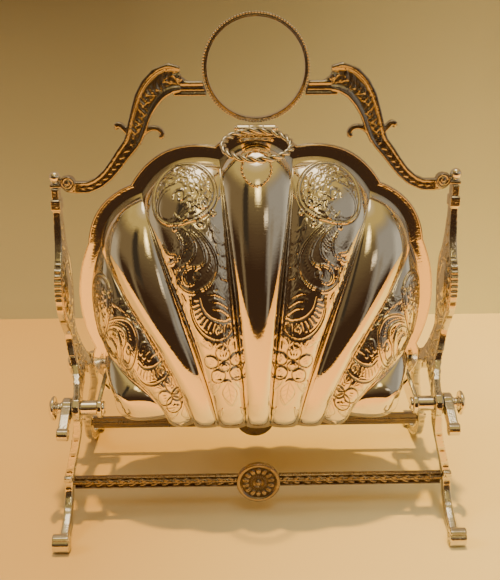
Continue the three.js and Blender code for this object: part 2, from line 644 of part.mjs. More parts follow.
// How full the bowl is at one place across a flute: round on its back, shut at the ends of the shell.
function fullness(lobe, v) {
  const round = Math.sqrt(Math.max(0, 1 - v * v));
  const depth = FLUTE_DEPTH_SHARES[Math.abs(lobe)];
  const outerHalf = Math.abs(lobe) === LOBES - 1 && Math.sign(v) === Math.sign(lobe);
  if (outerHalf) {
    return depth * Math.sqrt(round);
  }
  const inward = lobe === 0 ? 0 : -Math.sign(lobe);
  const neighbour = FLUTE_DEPTH_SHARES[Math.max(0, Math.abs(lobe) - 1)];
  const edgeDepth = Math.sign(v) === inward ? (depth + neighbour) / 2 : edgeOutward(lobe, depth);
  const valley = VALLEY_SHARE * edgeDepth;
  return valley + (depth - valley) * round;
}

function edgeOutward(lobe, depth) {
  const next = FLUTE_DEPTH_SHARES[Math.min(LOBES - 1, Math.abs(lobe) + 1)];
  return (depth + next) / 2;
}

const bowlCurve = new THREE.CatmullRomCurve3(BOWL_SHARES.map((s) => new THREE.Vector3(...s)), false, 'centripetal');

// One line of points over the front of the shell, from the foot of the flange to its top.
function shellColumn(lobe, v) {
  const { foot, top } = outlineAt(lobe, v);
  const inner = innerEdgeAt(lobe, v);
  const full = fullness(lobe, v);
  const flangeFront = -GAP - FLANGE_THICKNESS;
  const column = [new THREE.Vector3(foot.x, flangeFront, foot.y)];
  for (let i = 0; i <= BOWL_STEPS; i += 1) {
    const share = bowlCurve.getPoint(i / BOWL_STEPS);
    const at = inner.foot.clone().lerp(inner.top, share.x);
    const depth = share.y * SHELL_DEPTH * full;
    const drop = share.z * BELLY_DROP * Math.min(1, full / VALLEY_SHARE);
    column.push(new THREE.Vector3(at.x, flangeFront - depth, at.y - drop));
  }
  column.push(new THREE.Vector3(top.x, flangeFront, top.y));
  return column;
}

// Places across the whole shell, evenly round the back of each flute.
function shellStations() {
  const stations = [];
  for (let lobe = 1 - LOBES; lobe < LOBES; lobe += 1) {
    const first = lobe === 1 - LOBES ? 0 : 1;
    for (let k = first; k <= FLUTE_STEPS; k += 1) {
      stations.push([lobe, -Math.cos(Math.PI * k / FLUTE_STEPS)]);
    }
  }
  return stations;
}

function sheetNormals(grid) {
  const last = [grid.length - 1, grid[0].length - 1];
  return grid.map((column, i) => column.map((point, j) => {
    const across = grid[Math.min(last[0], i + 1)][j].clone().sub(grid[Math.max(0, i - 1)][j]);
    const along = column[Math.min(last[1], j + 1)].clone().sub(column[Math.max(0, j - 1)]);
    return across.cross(along).normalize();
  }));
}

// The inside of the sheet: a wall's thickness behind the outside, and flat where it is the flange.
function sheetBack(grid) {
  const normals = sheetNormals(grid);
  return grid.map((column, i) => column.map((point, j) => {
    const onFlange = j < 2 || j > column.length - 3 || i === 0 || i === grid.length - 1;
    if (onFlange) {
      return new THREE.Vector3(point.x, -GAP, point.z);
    }
    const inside = point.clone().addScaledVector(normals[i][j], -SHELL_WALL);
    inside.y = Math.min(inside.y, -GAP);
    return inside;
  }));
}

// A closed solid between two grids of points that share their outer rim.
function sheetGeometry(front, back) {
  const rows = front[0].length;
  const columns = front.length;
  const points = [...front.flat(), ...back.flat()];
  const offset = rows * columns;
  const index = [];
  const quad = (a, b, c, d) => index.push(a, b, c, a, c, d);
  for (let i = 0; i + 1 < columns; i += 1) {
    for (let j = 0; j + 1 < rows; j += 1) {
      const a = i * rows + j;
      const b = a + rows;
      quad(a, b, b + 1, a + 1);
      quad(offset + a, offset + a + 1, offset + b + 1, offset + b);
    }
    const low = i * rows;
    const high = low + rows - 1;
    quad(low, offset + low, offset + low + rows, low + rows);
    quad(high, high + rows, offset + high + rows, offset + high);
  }
  for (let j = 0; j + 1 < rows; j += 1) {
    const end = (columns - 1) * rows + j;
    quad(j, j + 1, offset + j + 1, offset + j);
    quad(end, offset + end, offset + end + 1, end + 1);
  }
  const geometry = new THREE.BufferGeometry().setFromPoints(points);
  geometry.setIndex(index);
  geometry.computeVertexNormals();
  return geometry;
}

function shellHalf() {
  const grid = shellStations().map(([lobe, v]) => shellColumn(lobe, v));
  return sheetGeometry(grid, sheetBack(grid));
}

// Ears that carry a half on its pins, soldered on the flange beside the bowl.
const EAR_TOP_SHARE = 0.075;

function shellEar() {
  const back = -GAP - FLANGE_THICKNESS - GAP;
  const top = SHELL_FLOOR + EAR_TOP_SHARE * SHELL_HEIGHT;
  const low = SHELL_FLOOR + GAP;
  const web = new THREE.Shape();
  web.moveTo(back, low);
  web.lineTo(back, top);
  web.quadraticCurveTo(-PIVOT_REACH / 2, top - GAP, -PIVOT_REACH, PIVOT_HEIGHT + EAR_RADIUS);
  web.lineTo(-PIVOT_REACH, PIVOT_HEIGHT - EAR_RADIUS);
  web.quadraticCurveTo(-PIVOT_REACH / 2, PIVOT_HEIGHT - EAR_RADIUS, back, low);
  const eye = turnedAlongX(rodProfile(EAR_RADIUS, -EAR_THICKNESS / 2, EAR_THICKNESS / 2));
  const bore = turnedAlongX(rodProfile(BORE_RADIUS, -EAR_THICKNESS, EAR_THICKNESS));
  for (const piece of [eye, bore]) {
    piece.translate(0, -PIVOT_REACH, PIVOT_HEIGHT);
  }
  return geometryOf(joined(plateAcross(web, EAR_THICKNESS), eye).subtract(solidOf(bore)));
}

// Grilles

// Piercings: start and end along the flute, and half-width as a share of the flute there.
const SLOT_SHARES = [[0.12, 0.34, 0.5], [0.4, 0.62, 0.5], [0.68, 0.9, 0.5]];
const SLOT_SIDES = 6;
const GRILLE_CORNER_PLACE = 0.6;

function grillePoint(lobe, v, along) {
  const edge = innerEdgeAt(lobe, v, GRILLE_INSET);
  return edge.foot.clone().lerp(edge.top, along);
}

function slotHole(lobe, [start, end, width]) {
  const points = [];
  for (let i = 0; i < SLOT_SIDES; i += 1) {
    const angle = 2 * Math.PI * i / SLOT_SIDES;
    const along = (start + end) / 2 + Math.cos(angle) * (end - start) / 2;
    points.push(grillePoint(lobe, width * Math.sin(angle), along));
  }
  return new THREE.Path(points);
}

function grille() {
  const outline = [];
  for (const [lobe, v] of shellStations().slice(2, -2)) {
    outline.push(innerEdgeAt(lobe, v, GRILLE_INSET).top);
  }
  const lowEdge = GRILLE_PIN_HEIGHT - GRILLE_FOOT_DROP;
  const corner = innerEdgeAt(LOBES - 1, GRILLE_CORNER_PLACE, GRILLE_INSET).foot.x;
  const notchHalf = GRILLE_LUG_THICKNESS / 2 + GAP * 2;
  const notchTop = GRILLE_PIN_HEIGHT + GRILLE_NOTCH_HEIGHT;
  outline.push(new THREE.Vector2(corner, lowEdge));
  for (const side of [1, -1]) {
    const middle = side * GRILLE_LUG_OFFSET;
    outline.push(
      new THREE.Vector2(middle + notchHalf, lowEdge), new THREE.Vector2(middle + notchHalf, notchTop),
      new THREE.Vector2(middle - notchHalf, notchTop), new THREE.Vector2(middle - notchHalf, lowEdge),
    );
  }
  outline.push(new THREE.Vector2(-corner, lowEdge));
  const shape = new THREE.Shape(outline.reverse());
  for (let lobe = 1 - LOBES; lobe < LOBES; lobe += 1) {
    for (const slot of SLOT_SHARES) {
      if (Math.abs(lobe) < LOBES - 1) {
        shape.holes.push(slotHole(lobe, slot));
      }
    }
  }
  const plate = plateFacing(shape, GRILLE_THICKNESS);
  plate.translate(0, -GAP - GRILLE_SETBACK - GRILLE_THICKNESS / 2, 0);
  const knuckleHalf = GRILLE_LUG_OFFSET - GRILLE_LUG_THICKNESS / 2 - GAP;
  const knuckle = turnedAlongX(rodProfile(GRILLE_KNUCKLE_RADIUS, -knuckleHalf, knuckleHalf));
  const bore = turnedAlongX(rodProfile(GRILLE_PIN_RADIUS + PIN_CLEARANCE, -knuckleHalf - OVERRUN, knuckleHalf + OVERRUN));
  for (const piece of [knuckle, bore]) {
    piece.translate(0, -GRILLE_PIN_REACH, GRILLE_PIN_HEIGHT);
  }
  const web = block(knuckleHalf * 2, GRILLE_PIN_REACH - GAP - GRILLE_SETBACK, GRILLE_KNUCKLE_RADIUS,
    0, -(GRILLE_PIN_REACH + GAP + GRILLE_SETBACK) / 2, GRILLE_PIN_HEIGHT + GRILLE_KNUCKLE_RADIUS / 2);
  return geometryOf(joined(plate, web, knuckle).subtract(solidOf(bore)));
}

function grillePin() {
  const half = GRILLE_LUG_OFFSET + GRILLE_LUG_THICKNESS;
  return turnedAlongX(rodProfile(GRILLE_PIN_RADIUS, -half, half))
    .translate(0, -GRILLE_PIN_REACH, GRILLE_PIN_HEIGHT);
}

// A lug stands on the floor of the bowl and holds one end of the grille's pin.
const LUG_LOBE = 2;

function grilleLug() {
  const grid = shellStations().map(([lobe, v]) => shellColumn(lobe, v));
  const back = sheetBack(grid);
  const columnIndex = shellStations().findIndex(([lobe, v]) => lobe === LUG_LOBE && Math.abs(v) < WELD);
  const [, start, end] = back[columnIndex];
  const floorAt = (y) => start.z + (end.z - start.z) * (y - start.y) / (end.y - start.y) + GAP * 4;
  const near = -GAP - GRILLE_SETBACK - GRILLE_THICKNESS - GAP;
  const far = -GRILLE_PIN_REACH - GRILLE_KNUCKLE_RADIUS;
  const top = GRILLE_PIN_HEIGHT + GRILLE_KNUCKLE_RADIUS;
  const shape = new THREE.Shape([
    [near, top], [near, floorAt(near)], [far, floorAt(far)], [far, top],
  ].map(([y, z]) => new THREE.Vector2(y, z)));
  const bore = turnedAlongX(rodProfile(GRILLE_PIN_RADIUS + PIN_CLEARANCE, -GRILLE_LUG_THICKNESS, GRILLE_LUG_THICKNESS));
  bore.translate(0, -GRILLE_PIN_REACH, GRILLE_PIN_HEIGHT);
  return geometryOf(solidOf(plateAcross(shape, GRILLE_LUG_THICKNESS)).subtract(solidOf(bore)));
}

// Rope-twist lifting ring, drawn about its hinge axis and running towards -y

function ropeRing() {
  const points = [];
  const index = [];
  for (let i = 0; i < ROPE_STEPS; i += 1) {
    const turn = 2 * Math.PI * i / ROPE_STEPS;
    for (let j = 0; j < ROPE_SIDES; j += 1) {
      const angle = 2 * Math.PI * j / ROPE_SIDES;
      const lobe = Math.cos(angle - ROPE_TWISTS * turn) ** 2;
      const radius = LIFT_CORD_RADIUS * (ROPE_WAIST_SHARE + (1 - ROPE_WAIST_SHARE) * lobe);
      const out = LIFT_RING_RADIUS + radius * Math.cos(angle);
      points.push(new THREE.Vector3(out * Math.sin(turn), out * Math.cos(turn), radius * Math.sin(angle)));
      const next = ((i + 1) % ROPE_STEPS) * ROPE_SIDES;
      const a = i * ROPE_SIDES + j;
      const b = i * ROPE_SIDES + ((j + 1) % ROPE_SIDES);
      const c = next + ((j + 1) % ROPE_SIDES);
      const d = next + j;
      index.push(a, b, c, a, c, d);
    }
  }
  const geometry = new THREE.BufferGeometry().setFromPoints(points);
  geometry.setIndex(index);
  return geometry.translate(0, -LIFT_RING_RADIUS - LIFT_NECK_LENGTH, 0);
}

const ROPE_WAIST_SHARE = 0.66;

function liftRing() {
  const sleeve = turnedAlongX(rodProfile(LIFT_KNUCKLE_RADIUS, -LIFT_KNUCKLE_HALF, LIFT_KNUCKLE_HALF));
  const neckWidth = LIFT_KNUCKLE_HALF;
  const neck = block(neckWidth, LIFT_NECK_LENGTH, LIFT_CORD_RADIUS, 0, -LIFT_NECK_LENGTH / 2, 0);
  const bore = turnedAlongX(rodProfile(LIFT_PIN_RADIUS + PIN_CLEARANCE, -LIFT_BARREL_HALF, LIFT_BARREL_HALF));
  return geometryOf(joined(ropeRing(), sleeve, neck).subtract(solidOf(bore)));
}

function liftBracket() {
  const seat = LIFT_HINGE_REACH - GAP - FLANGE_THICKNESS - GAP;
  const baseTop = -LIFT_KNUCKLE_RADIUS - GAP;
  const base = block(LIFT_BARREL_HALF * 2, seat, LIFT_BASE_HEIGHT, 0, seat / 2, baseTop - LIFT_BASE_HEIGHT / 2);
  const knuckleStart = LIFT_KNUCKLE_HALF + GAP;
  const length = LIFT_BARREL_HALF - knuckleStart;
  let bracket = solidOf(base);
  for (const side of [-1, 1]) {
    const middle = side * (knuckleStart + length / 2);
    const knuckle = turnedAlongX(rodProfile(LIFT_KNUCKLE_RADIUS, -length / 2, length / 2)).translate(middle, 0, 0);
    const riser = block(length, seat, LIFT_KNUCKLE_RADIUS + LIFT_BASE_HEIGHT, middle, seat / 2, baseTop / 2);
    bracket = bracket.add(solidOf(knuckle)).add(solidOf(riser));
  }
  const bore = turnedAlongX(rodProfile(LIFT_PIN_RADIUS + PIN_CLEARANCE, -LIFT_BARREL_HALF * 2, LIFT_BARREL_HALF * 2));
  return geometryOf(bracket.subtract(solidOf(bore)));
}

function liftPin() {
  const seat = LIFT_BARREL_HALF + GAP;
  const end = seat + LIFT_BALL_RADIUS;
  return turnedAlongX([
    [0, -end], [LIFT_BALL_RADIUS, -end + LIFT_BALL_RADIUS / 2], [LIFT_BALL_RADIUS, -seat], [LIFT_PIN_RADIUS, -seat],
    [LIFT_PIN_RADIUS, seat], [LIFT_BALL_RADIUS, seat], [LIFT_BALL_RADIUS, end - LIFT_BALL_RADIUS / 2], [0, end],
  ]);
}

// Assembly

function mesh(name, geometry, finish) {
  const piece = new THREE.Mesh(geometry, finishes[finish]());
  piece.name = name;
  return piece;
}

function turnedCopy(piece, turn) {
  piece.rotation.z = turn;
  return piece;
}

const box = new THREE.Group();

const SIDES = [['right', 0], ['left', HALF_TURN]];
const FACES = [['front', 0], ['rear', HALF_TURN]];

// The stand: frames and standards are drawn on the y-z plane and moved out to the right.
for (const [name, turn] of SIDES) {
  const side = new THREE.Group();
  side.rotation.z = turn;
  const frame = mesh(`${name}_side_frame`, sideFrame(), 'cast');
  const post = mesh(`${name}_standard`, standard(), 'cast');
  const ball = mesh(`${name}_finial`, finial(), 'polished');
  frame.position.x = FRAME_OFFSET;
  post.position.x = FRAME_OFFSET;
  ball.position.x = FRAME_OFFSET + STANDARD_SPLAY;
  side.add(frame, post, ball, mesh(`${name}_handle_arm`, handleArm(), 'cast'));
  box.add(side);
}
box.add(mesh('carrying_ring', carryingRing(), 'cast'));

for (const [name, turn] of FACES) {
  const face = new THREE.Group();
  face.rotation.z = turn;
  const bar = mesh(`${name}_stretcher`, stretcher(), 'cast');
  bar.position.set(0, -STRETCHER_REACH, STRETCHER_HEIGHT);
  const flower = mesh(`${name}_rosette`, rosette(), 'cast');
  flower.rotation.z = HALF_TURN;
  flower.position.set(0, -STRETCHER_REACH - STRETCHER_THICKNESS / 2 - STRETCHER_RELIEF - GAP, STRETCHER_HEIGHT);
  face.add(bar, flower);
  box.add(face);
}

// Four pivot stacks. The shapes run along +x, so the left ones are turned half round.
for (const [sideName, sideTurn] of SIDES) {
  for (const [faceName, faceTurn] of FACES) {
    const stack = new THREE.Group();
    const across = sideTurn === 0 ? 1 : -1;
    const along = faceTurn === 0 ? -1 : 1;
    stack.position.set(0, along * PIVOT_REACH, PIVOT_HEIGHT);
    stack.rotation.z = sideTurn;
    const prefix = `${faceName}_${sideName}`;
    const arm = mesh(`${prefix}_scroll_arm`, scrollArm(), 'cast');
    arm.position.x = ARM_START + SCROLL_ARM_THICKNESS / 2;
    arm.rotation.z = along * across < 0 ? 0 : HALF_TURN;
    stack.add(
      mesh(`${prefix}_pivot_pin`, pivotPin(), 'pin'),
      mesh(`${prefix}_spacer_tube`, spacerTube(), 'polished'),
      arm,
      mesh(`${prefix}_collar`, collar(), 'polished'),
      mesh(`${prefix}_knob`, knob(), 'polished'),
    );
    box.add(stack);
  }
}

// The two halves, alike but for the lifting ring.
for (const [name, turn] of FACES) {
  const half = new THREE.Group();
  half.rotation.z = turn;
  half.add(
    mesh(`${name}_shell`, shellHalf(), 'polished'),
    mesh(`${name}_grille`, grille(), 'inside'),
    mesh(`${name}_grille_pin`, grillePin(), 'pin'),
  );
  for (const [sideName, sideTurn] of SIDES) {
    const across = sideTurn === turn ? 1 : -1;
    const ear = mesh(`${name}_${sideName}_ear`, shellEar(), 'polished');
    ear.position.x = across * (EAR_OFFSET + EAR_THICKNESS / 2);
    const lug = mesh(`${name}_${sideName}_grille_lug`, grilleLug(), 'pin');
    lug.position.x = across * GRILLE_LUG_OFFSET;
    half.add(ear, lug);
  }
  if (turn === 0) {
    const hinge = new THREE.Group();
    hinge.position.set(0, -LIFT_HINGE_REACH, LIFT_HINGE_HEIGHT);
    const ring = mesh('lift_ring', liftRing(), 'polished');
    ring.rotation.x = LIFT_RING_TILT;
    hinge.add(ring, mesh('lift_ring_bracket', liftBracket(), 'polished'), mesh('lift_ring_pin', liftPin(), 'pin'));
    half.add(hinge);
  }
  box.add(half);
}

export default box;
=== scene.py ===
import sys
import json
import logging
import math
from collections.abc import Callable, Sequence
from dataclasses import dataclass, replace
from enum import Enum
from functools import cache

import bmesh
import bpy
import numpy as np
from mathutils import Euler, Matrix, Vector


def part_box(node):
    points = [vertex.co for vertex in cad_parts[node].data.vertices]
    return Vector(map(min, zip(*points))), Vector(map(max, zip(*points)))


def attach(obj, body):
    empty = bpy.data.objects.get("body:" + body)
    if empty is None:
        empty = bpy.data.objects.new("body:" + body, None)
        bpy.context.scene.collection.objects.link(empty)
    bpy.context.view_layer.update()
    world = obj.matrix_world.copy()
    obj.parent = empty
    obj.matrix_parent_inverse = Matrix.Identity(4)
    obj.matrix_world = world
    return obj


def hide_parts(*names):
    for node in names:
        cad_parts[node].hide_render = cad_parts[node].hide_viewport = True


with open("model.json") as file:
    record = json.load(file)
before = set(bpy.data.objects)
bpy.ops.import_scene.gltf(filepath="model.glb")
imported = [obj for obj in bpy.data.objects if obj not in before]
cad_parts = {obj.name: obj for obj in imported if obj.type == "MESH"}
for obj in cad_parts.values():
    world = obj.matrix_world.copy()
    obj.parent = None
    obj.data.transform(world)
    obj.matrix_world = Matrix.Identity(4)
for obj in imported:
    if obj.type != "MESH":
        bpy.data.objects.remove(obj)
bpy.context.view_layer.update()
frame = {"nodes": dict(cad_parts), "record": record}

log = logging.getLogger("biscuit_box")

MM = 0.001
# The attribute that marks the hollows, where dirt and painted shade darken the metal.
SOIL_AND_SHADE = "soil"

Colour = tuple[float, float, float, float]
Stations = Sequence[Sequence[float]]
Carving = Callable[[np.ndarray, np.ndarray], tuple[np.ndarray, np.ndarray]]


class Half(Enum):
    """The two halves of the box: name, and the sign that turns the front one half round."""

    FRONT = ("front", 1)
    REAR = ("rear", -1)

    @property
    def label(self) -> str:
        """The half's plain name."""
        return self.value[0]

    @property
    def turn(self) -> int:
        """1 for the front half, and -1 for the rear one, which is the same shape turned round."""
        return self.value[1]

    @property
    def body(self) -> str:
        """The body of the frame that this half's shell rides on."""
        return f"{self.label}_shell_half"


class Side(Enum):
    """The two ends of the stand: name and sign along x."""

    LEFT = ("left", -1)
    RIGHT = ("right", 1)

    @property
    def label(self) -> str:
        """The side's plain name."""
        return self.value[0]

    @property
    def sign(self) -> int:
        """The side's sign along x."""
        return self.value[1]


class Slot(Enum):
    """The record's material slots."""

    POLISHED = "polished_silver"
    CAST = "cast_silver"
    GRILLE = "grille_silver"
    FITTINGS = "plated_fittings"


# Plain numeric helpers


def smooth_line(points: Stations, steps: int) -> np.ndarray:
    """Runs an even, rounded line through stations.

    Args:
        points: stations, each with any number of values.
        steps: samples between two stations.

    Returns:
        The line's samples, one row each, the stations among them.
    """
    stations = np.asarray(points, float)
    before = 2 * stations[0] - stations[1]
    after = 2 * stations[-1] - stations[-2]
    full = np.vstack([before, stations, after])
    knots = np.sqrt(np.maximum(np.linalg.norm(np.diff(full, axis=0), axis=1), 1e-9))
    lines = []
    for i in range(len(stations) - 1):
        t0, t1, t2, t3 = np.concatenate([[0], np.cumsum(knots[i:i + 3])])
        t = np.linspace(t1, t2, steps + 1)[:, None]
        p0, p1, p2, p3 = full[i:i + 4]
        a1 = (t1 - t) / (t1 - t0) * p0 + (t - t0) / (t1 - t0) * p1
        a2 = (t2 - t) / (t2 - t1) * p1 + (t - t1) / (t2 - t1) * p2
        a3 = (t3 - t) / (t3 - t2) * p2 + (t - t2) / (t3 - t2) * p3
        b1 = (t2 - t) / (t2 - t0) * a1 + (t - t0) / (t2 - t0) * a2
        b2 = (t3 - t) / (t3 - t1) * a2 + (t - t1) / (t3 - t1) * a3
        line = (t2 - t) / (t2 - t1) * b1 + (t - t1) / (t2 - t1) * b2
        lines.append(line if i == 0 else line[1:])
    return np.vstack(lines)


def travelled(points: np.ndarray) -> np.ndarray:
    """Measures the way along a line of points.

    Args:
        points: the line, one row a point.

    Returns:
        The distance from the first point to each.
    """
    return np.concatenate([[0], np.cumsum(np.linalg.norm(np.diff(points, axis=0), axis=1))])


def eased(share: np.ndarray) -> np.ndarray:
    """Turns a share from 0 to 1 into one that starts and ends gently."""
    held = np.clip(share, 0, 1)
    return held * held * (3 - 2 * held)


def crest(distance: np.ndarray, width: float) -> np.ndarray:
    """A round ridge: 1 where the distance is 0, falling to nothing a width or two away."""
    return np.exp(-((distance / width) ** 2))


def unit(vectors: np.ndarray) -> np.ndarray:
    """Gives every row of an array the length 1."""
    return vectors / np.linalg.norm(vectors, axis=1)[:, None]


def lengths(vectors: np.ndarray) -> np.ndarray:
    """Measures every row of an array of flat vectors."""
    return np.hypot(vectors[:, 0], vectors[:, 1])


def heading(angle: float) -> np.ndarray:
    """The flat unit vector at an angle from the first axis."""
    return np.array([math.cos(angle), math.sin(angle)])


# Meshes


@dataclass
class Sheet:
    """A closed mesh in the making: places in millimetres, faces, values of dirt and painted shade in its
    hollows, and finish numbers.
    """

    points: np.ndarray
    faces: list[np.ndarray]
    soil: np.ndarray | None = None
    finish_of_face: list[np.ndarray] | None = None

    def outward(self) -> "Sheet":
        """Turns every face round where they point inwards.

        Returns:
            This mesh.
        """
        volume = 0.0
        for group in self.faces:
            corner = self.points[group]
            for k in range(1, group.shape[1] - 1):
                volume += np.einsum("ij,ij->", corner[:, 0], np.cross(corner[:, k], corner[:, k + 1]))
        if volume < 0:
            self.faces = [group[:, ::-1] for group in self.faces]
        return self

    def placed(self, move: Callable[[np.ndarray], np.ndarray]) -> "Sheet":
        """Moves every point by one rule.

        Args:
            move: the rule, from places to places.

        Returns:
            This mesh.
        """
        self.points = move(self.points)
        return self.outward()


def merged(sheets: Sequence[Sheet]) -> Sheet:
    """Puts several closed meshes into one.

    Args:
        sheets: the meshes.

    Returns:
        One mesh that holds them all.
    """
    faces, soils_and_shades, offset = [], [], 0
    for sheet in sheets:
        faces += [group + offset for group in sheet.faces]
        soils_and_shades.append(np.zeros(len(sheet.points)) if sheet.soil is None else sheet.soil)
        offset += len(sheet.points)
    finishes = None
    if any(sheet.finish_of_face for sheet in sheets):
        finishes = []
        for sheet in sheets:
            finishes += sheet.finish_of_face or [np.zeros(len(group), int) for group in sheet.faces]
    return Sheet(np.vstack([sheet.points for sheet in sheets]), faces, np.concatenate(soils_and_shades), finishes)


def linked(name: str, data: bpy.types.ID) -> bpy.types.Object:
    """Makes an object of a mesh, a lamp or a camera and links it to the scene.

    Args:
        name: the object's name.
        data: the mesh, lamp or camera.

    Returns:
        The object.
    """
    made = bpy.data.objects.new(name, data)
    bpy.context.scene.collection.objects.link(made)
    return made


def read_all(items: bpy.types.bpy_prop_collection, value: str, kind: type, width: int) -> np.ndarray:
    """Reads one value of every item of a mesh.

    Args:
        items: the mesh's vertices, normals or corners.
        value: the value's name.
        kind: its type.
        width: how many numbers it has.

    Returns:
        The values, one row an item.
    """
    found = np.zeros(len(items) * width, kind)
    items.foreach_get(value, found)
    return found.reshape(-1, width)


def mesh_piece(
    name: str, sheet: Sheet, finishes: Sequence["Finish"], sharp: float = 40.0
) -> bpy.types.Object:
    """Makes a Blender object from a mesh in the making.

    Args:
        name: the piece's name.
        sheet: its mesh.
        finishes: the finishes that its face numbers stand for.
        sharp: edges that turn by more degrees than this stay crisp.

    Returns:
        The object, linked to the scene.
    """
    mesh = bpy.data.meshes.new(name)
    sizes = np.concatenate([np.full(len(group), group.shape[1]) for group in sheet.faces])
    corners = np.concatenate([group.ravel() for group in sheet.faces])
    mesh.vertices.add(len(sheet.points))
    mesh.vertices.foreach_set("co", (sheet.points * MM).astype(np.float32).ravel())
    mesh.loops.add(len(corners))
    mesh.loops.foreach_set("vertex_index", corners.astype(np.int32))
    mesh.polygons.add(len(sizes))
    starts = np.concatenate([[0], np.cumsum(sizes)[:-1]])
    mesh.polygons.foreach_set("loop_start", starts.astype(np.int32))
    if sheet.finish_of_face is not None:
        mesh.polygons.foreach_set("material_index", np.concatenate(sheet.finish_of_face).astype(np.int32))
    mesh.update(calc_edges=True)
    # Each point's share of dirt and painted shade in the hollows.
    soil = np.zeros(len(sheet.points)) if sheet.soil is None else sheet.soil
    mesh.attributes.new(SOIL_AND_SHADE, "FLOAT", "POINT").data.foreach_set("value", soil.astype(np.float32))
    return shown_piece(name, mesh, finishes, sharp)


def shown_piece(
    name: str, mesh: bpy.types.Mesh, finishes: Sequence["Finish"], sharp: float = 40.0
) -> bpy.types.Object:
    """Links a mesh to the scene as a piece with its finishes and smooth shading.

    Args:
        name: the piece's name.
        mesh: its mesh.
        finishes: the finishes that its face numbers stand for.
        sharp: edges that turn by more degrees than this stay crisp.

    Returns:
        The object.
    """
    mesh.validate()
    mesh.materials.clear()
    for finish in finishes:
        mesh.materials.append(finish.material())
    mesh.shade_smooth()
    mesh.set_sharp_from_angle(angle=math.radians(sharp))
    return linked(name, mesh)


def settle(piece: bpy.types.Object, body: str, slot: Slot, *nodes: str) -> None:
    """Sets a finished piece on its body and hides the nodes that it stands for.

    Args:
        piece: the finished piece.
        body: the body that it rides on.
        slot: the record's slot for its finish; not used.
        nodes: the nodes that it stands for.
    """
    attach(piece, body)
    if nodes:
        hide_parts(*nodes)
    log.info("%s: %d faces on %s", piece.name, len(piece.data.polygons), body)


def home_of(node: str) -> str:
    """Looks up the body that a node of the frame rides on."""
    bodies = frame["record"]["behaviour"]["bodies"]
    return next(body for body, names in bodies.items() if node in names)


def turned(profile: Stations, steps: int, axis: str, centre: Sequence[float]) -> Sheet:
    """Turns a profile round an axis into a closed piece.

    Args:
        profile: [radius, along] pairs in millimetres; it starts and ends on the axis, or closes on itself.
        steps: how many sides the turning has.
        axis: "x", "y" or "z".
        centre: a place on the axis, from which the profile is measured.

    Returns:
        The piece.
    """
    rows = [tuple(map(float, pair)) for pair in profile]
    ring = rows[0] == rows[-1] and rows[0][0] > 0
    if ring:
        rows = rows[:-1]
    angle = 2 * math.pi * np.arange(steps) / steps
    points, start = [], []
    for radius, along in rows:
        start.append(len(points))
        if radius < 1e-6:
            points.append((0.0, 0.0, along))
        else:
            points += [(radius * math.cos(a), radius * math.sin(a), along) for a in angle]
    quads, fans = [], []
    count = len(rows)
    for i in range(count if ring else count - 1):
        j = (i + 1) % count
        low_pole, high_pole = rows[i][0] < 1e-6, rows[j][0] < 1e-6
        for k in range(steps):
            n = (k + 1) % steps
            if low_pole and high_pole:
                continue
            if low_pole:
                fans.append((start[i], start[j] + n, start[j] + k))
            elif high_pole:
                fans.append((start[i] + k, start[i] + n, start[j]))
            else:
                quads.append((start[i] + k, start[i] + n, start[j] + n, start[j] + k))
    place = np.array(points)
    order = {"x": [2, 0, 1], "y": [0, 2, 1], "z": [0, 1, 2]}[axis]
    faces = [np.array(group) for group in (quads, fans) if group]
    return Sheet(place[:, order] + np.asarray(centre, float), faces).outward()


# Node trees


class NodeBook:
    """Short calls that add nodes to one tree and join their sockets."""

    def __init__(self, tree: bpy.types.NodeTree) -> None:
        """Opens a tree.

        Args:
            tree: the shader or geometry tree to write in.
        """
        self.tree = tree

    def add(
        self, kind: str, sockets: dict[str | int, object] | None = None, **settings: object
    ) -> bpy.types.Node:
        """Adds a node.

        Args:
            kind: Blender's name for the node.
            sockets: what goes into its inputs, by name or number: a value or another node's output.
            settings: the node's own properties.

        Returns:
            The node.
        """
        node = self.tree.nodes.new(kind)
        for key, value in settings.items():
            setattr(node, key, value)
        for key, value in (sockets or {}).items():
            if isinstance(value, bpy.types.NodeSocket):
                self.tree.links.new(value, node.inputs[key])
            else:
                node.inputs[key].default_value = value
        return node

    def sum(self, operation: str, *values: object) -> bpy.types.NodeSocket:
        """Adds a Math node.

        Args:
            operation: the node's operation.
            values: its inputs, numbers or outputs.

        Returns:
            The result's socket.
        """
        return self.add("ShaderNodeMath", dict(enumerate(values)), operation=operation).outputs[0]

    def blend(self, share: object, first: object, second: object) -> bpy.types.NodeSocket:
        """Mixes two colours.

        Args:
            share: how much of the second colour there is.
            first: a colour or an output.
            second: a colour or an output.

        Returns:
            The mixed colour's socket.
        """
        node = self.add("ShaderNodeMix", {0: share, 6: first, 7: second}, data_type="RGBA")
        return node.outputs[2]

    def ramp(
        self, value: object, low: float, high: float, to_low: float = 0.0, to_high: float = 1.0
    ) -> bpy.types.NodeSocket:
        """Maps one range to another and holds it at the ends.

        Args:
            value: the output to map.
            low: where the old range starts.
            high: where it ends.
            to_low: where the new range starts.
            to_high: where it ends.

        Returns:
            The result's socket.
        """
        sockets = {0: value, 1: low, 2: high, 3: to_low, 4: to_high}
        return self.add("ShaderNodeMapRange", sockets, clamp=True).outputs[0]

    def noise(
        self, place: object, scale: object, detail: float = 2.0, rough: float = 0.5
    ) -> bpy.types.NodeSocket:
        """Adds a noise texture.

        Args:
            place: the coordinates' socket.
            scale: its scale, a number or an output.
            detail: how many layers it has.
            rough: how strong the finer layers are.

        Returns:
            The noise value's socket.
        """
        sockets = {"Vector": place, "Scale": scale, "Detail": detail, "Roughness": rough}
        return self.add("ShaderNodeTexNoise", sockets).outputs[0]


def emptied(owner: bpy.types.ID) -> NodeBook:
    """Clears the node tree of a material or a world.

    Args:
        owner: the material or world.

    Returns:
        The book to write in.
    """
    owner.use_nodes = True
    owner.node_tree.nodes.clear()
    return NodeBook(owner.node_tree)


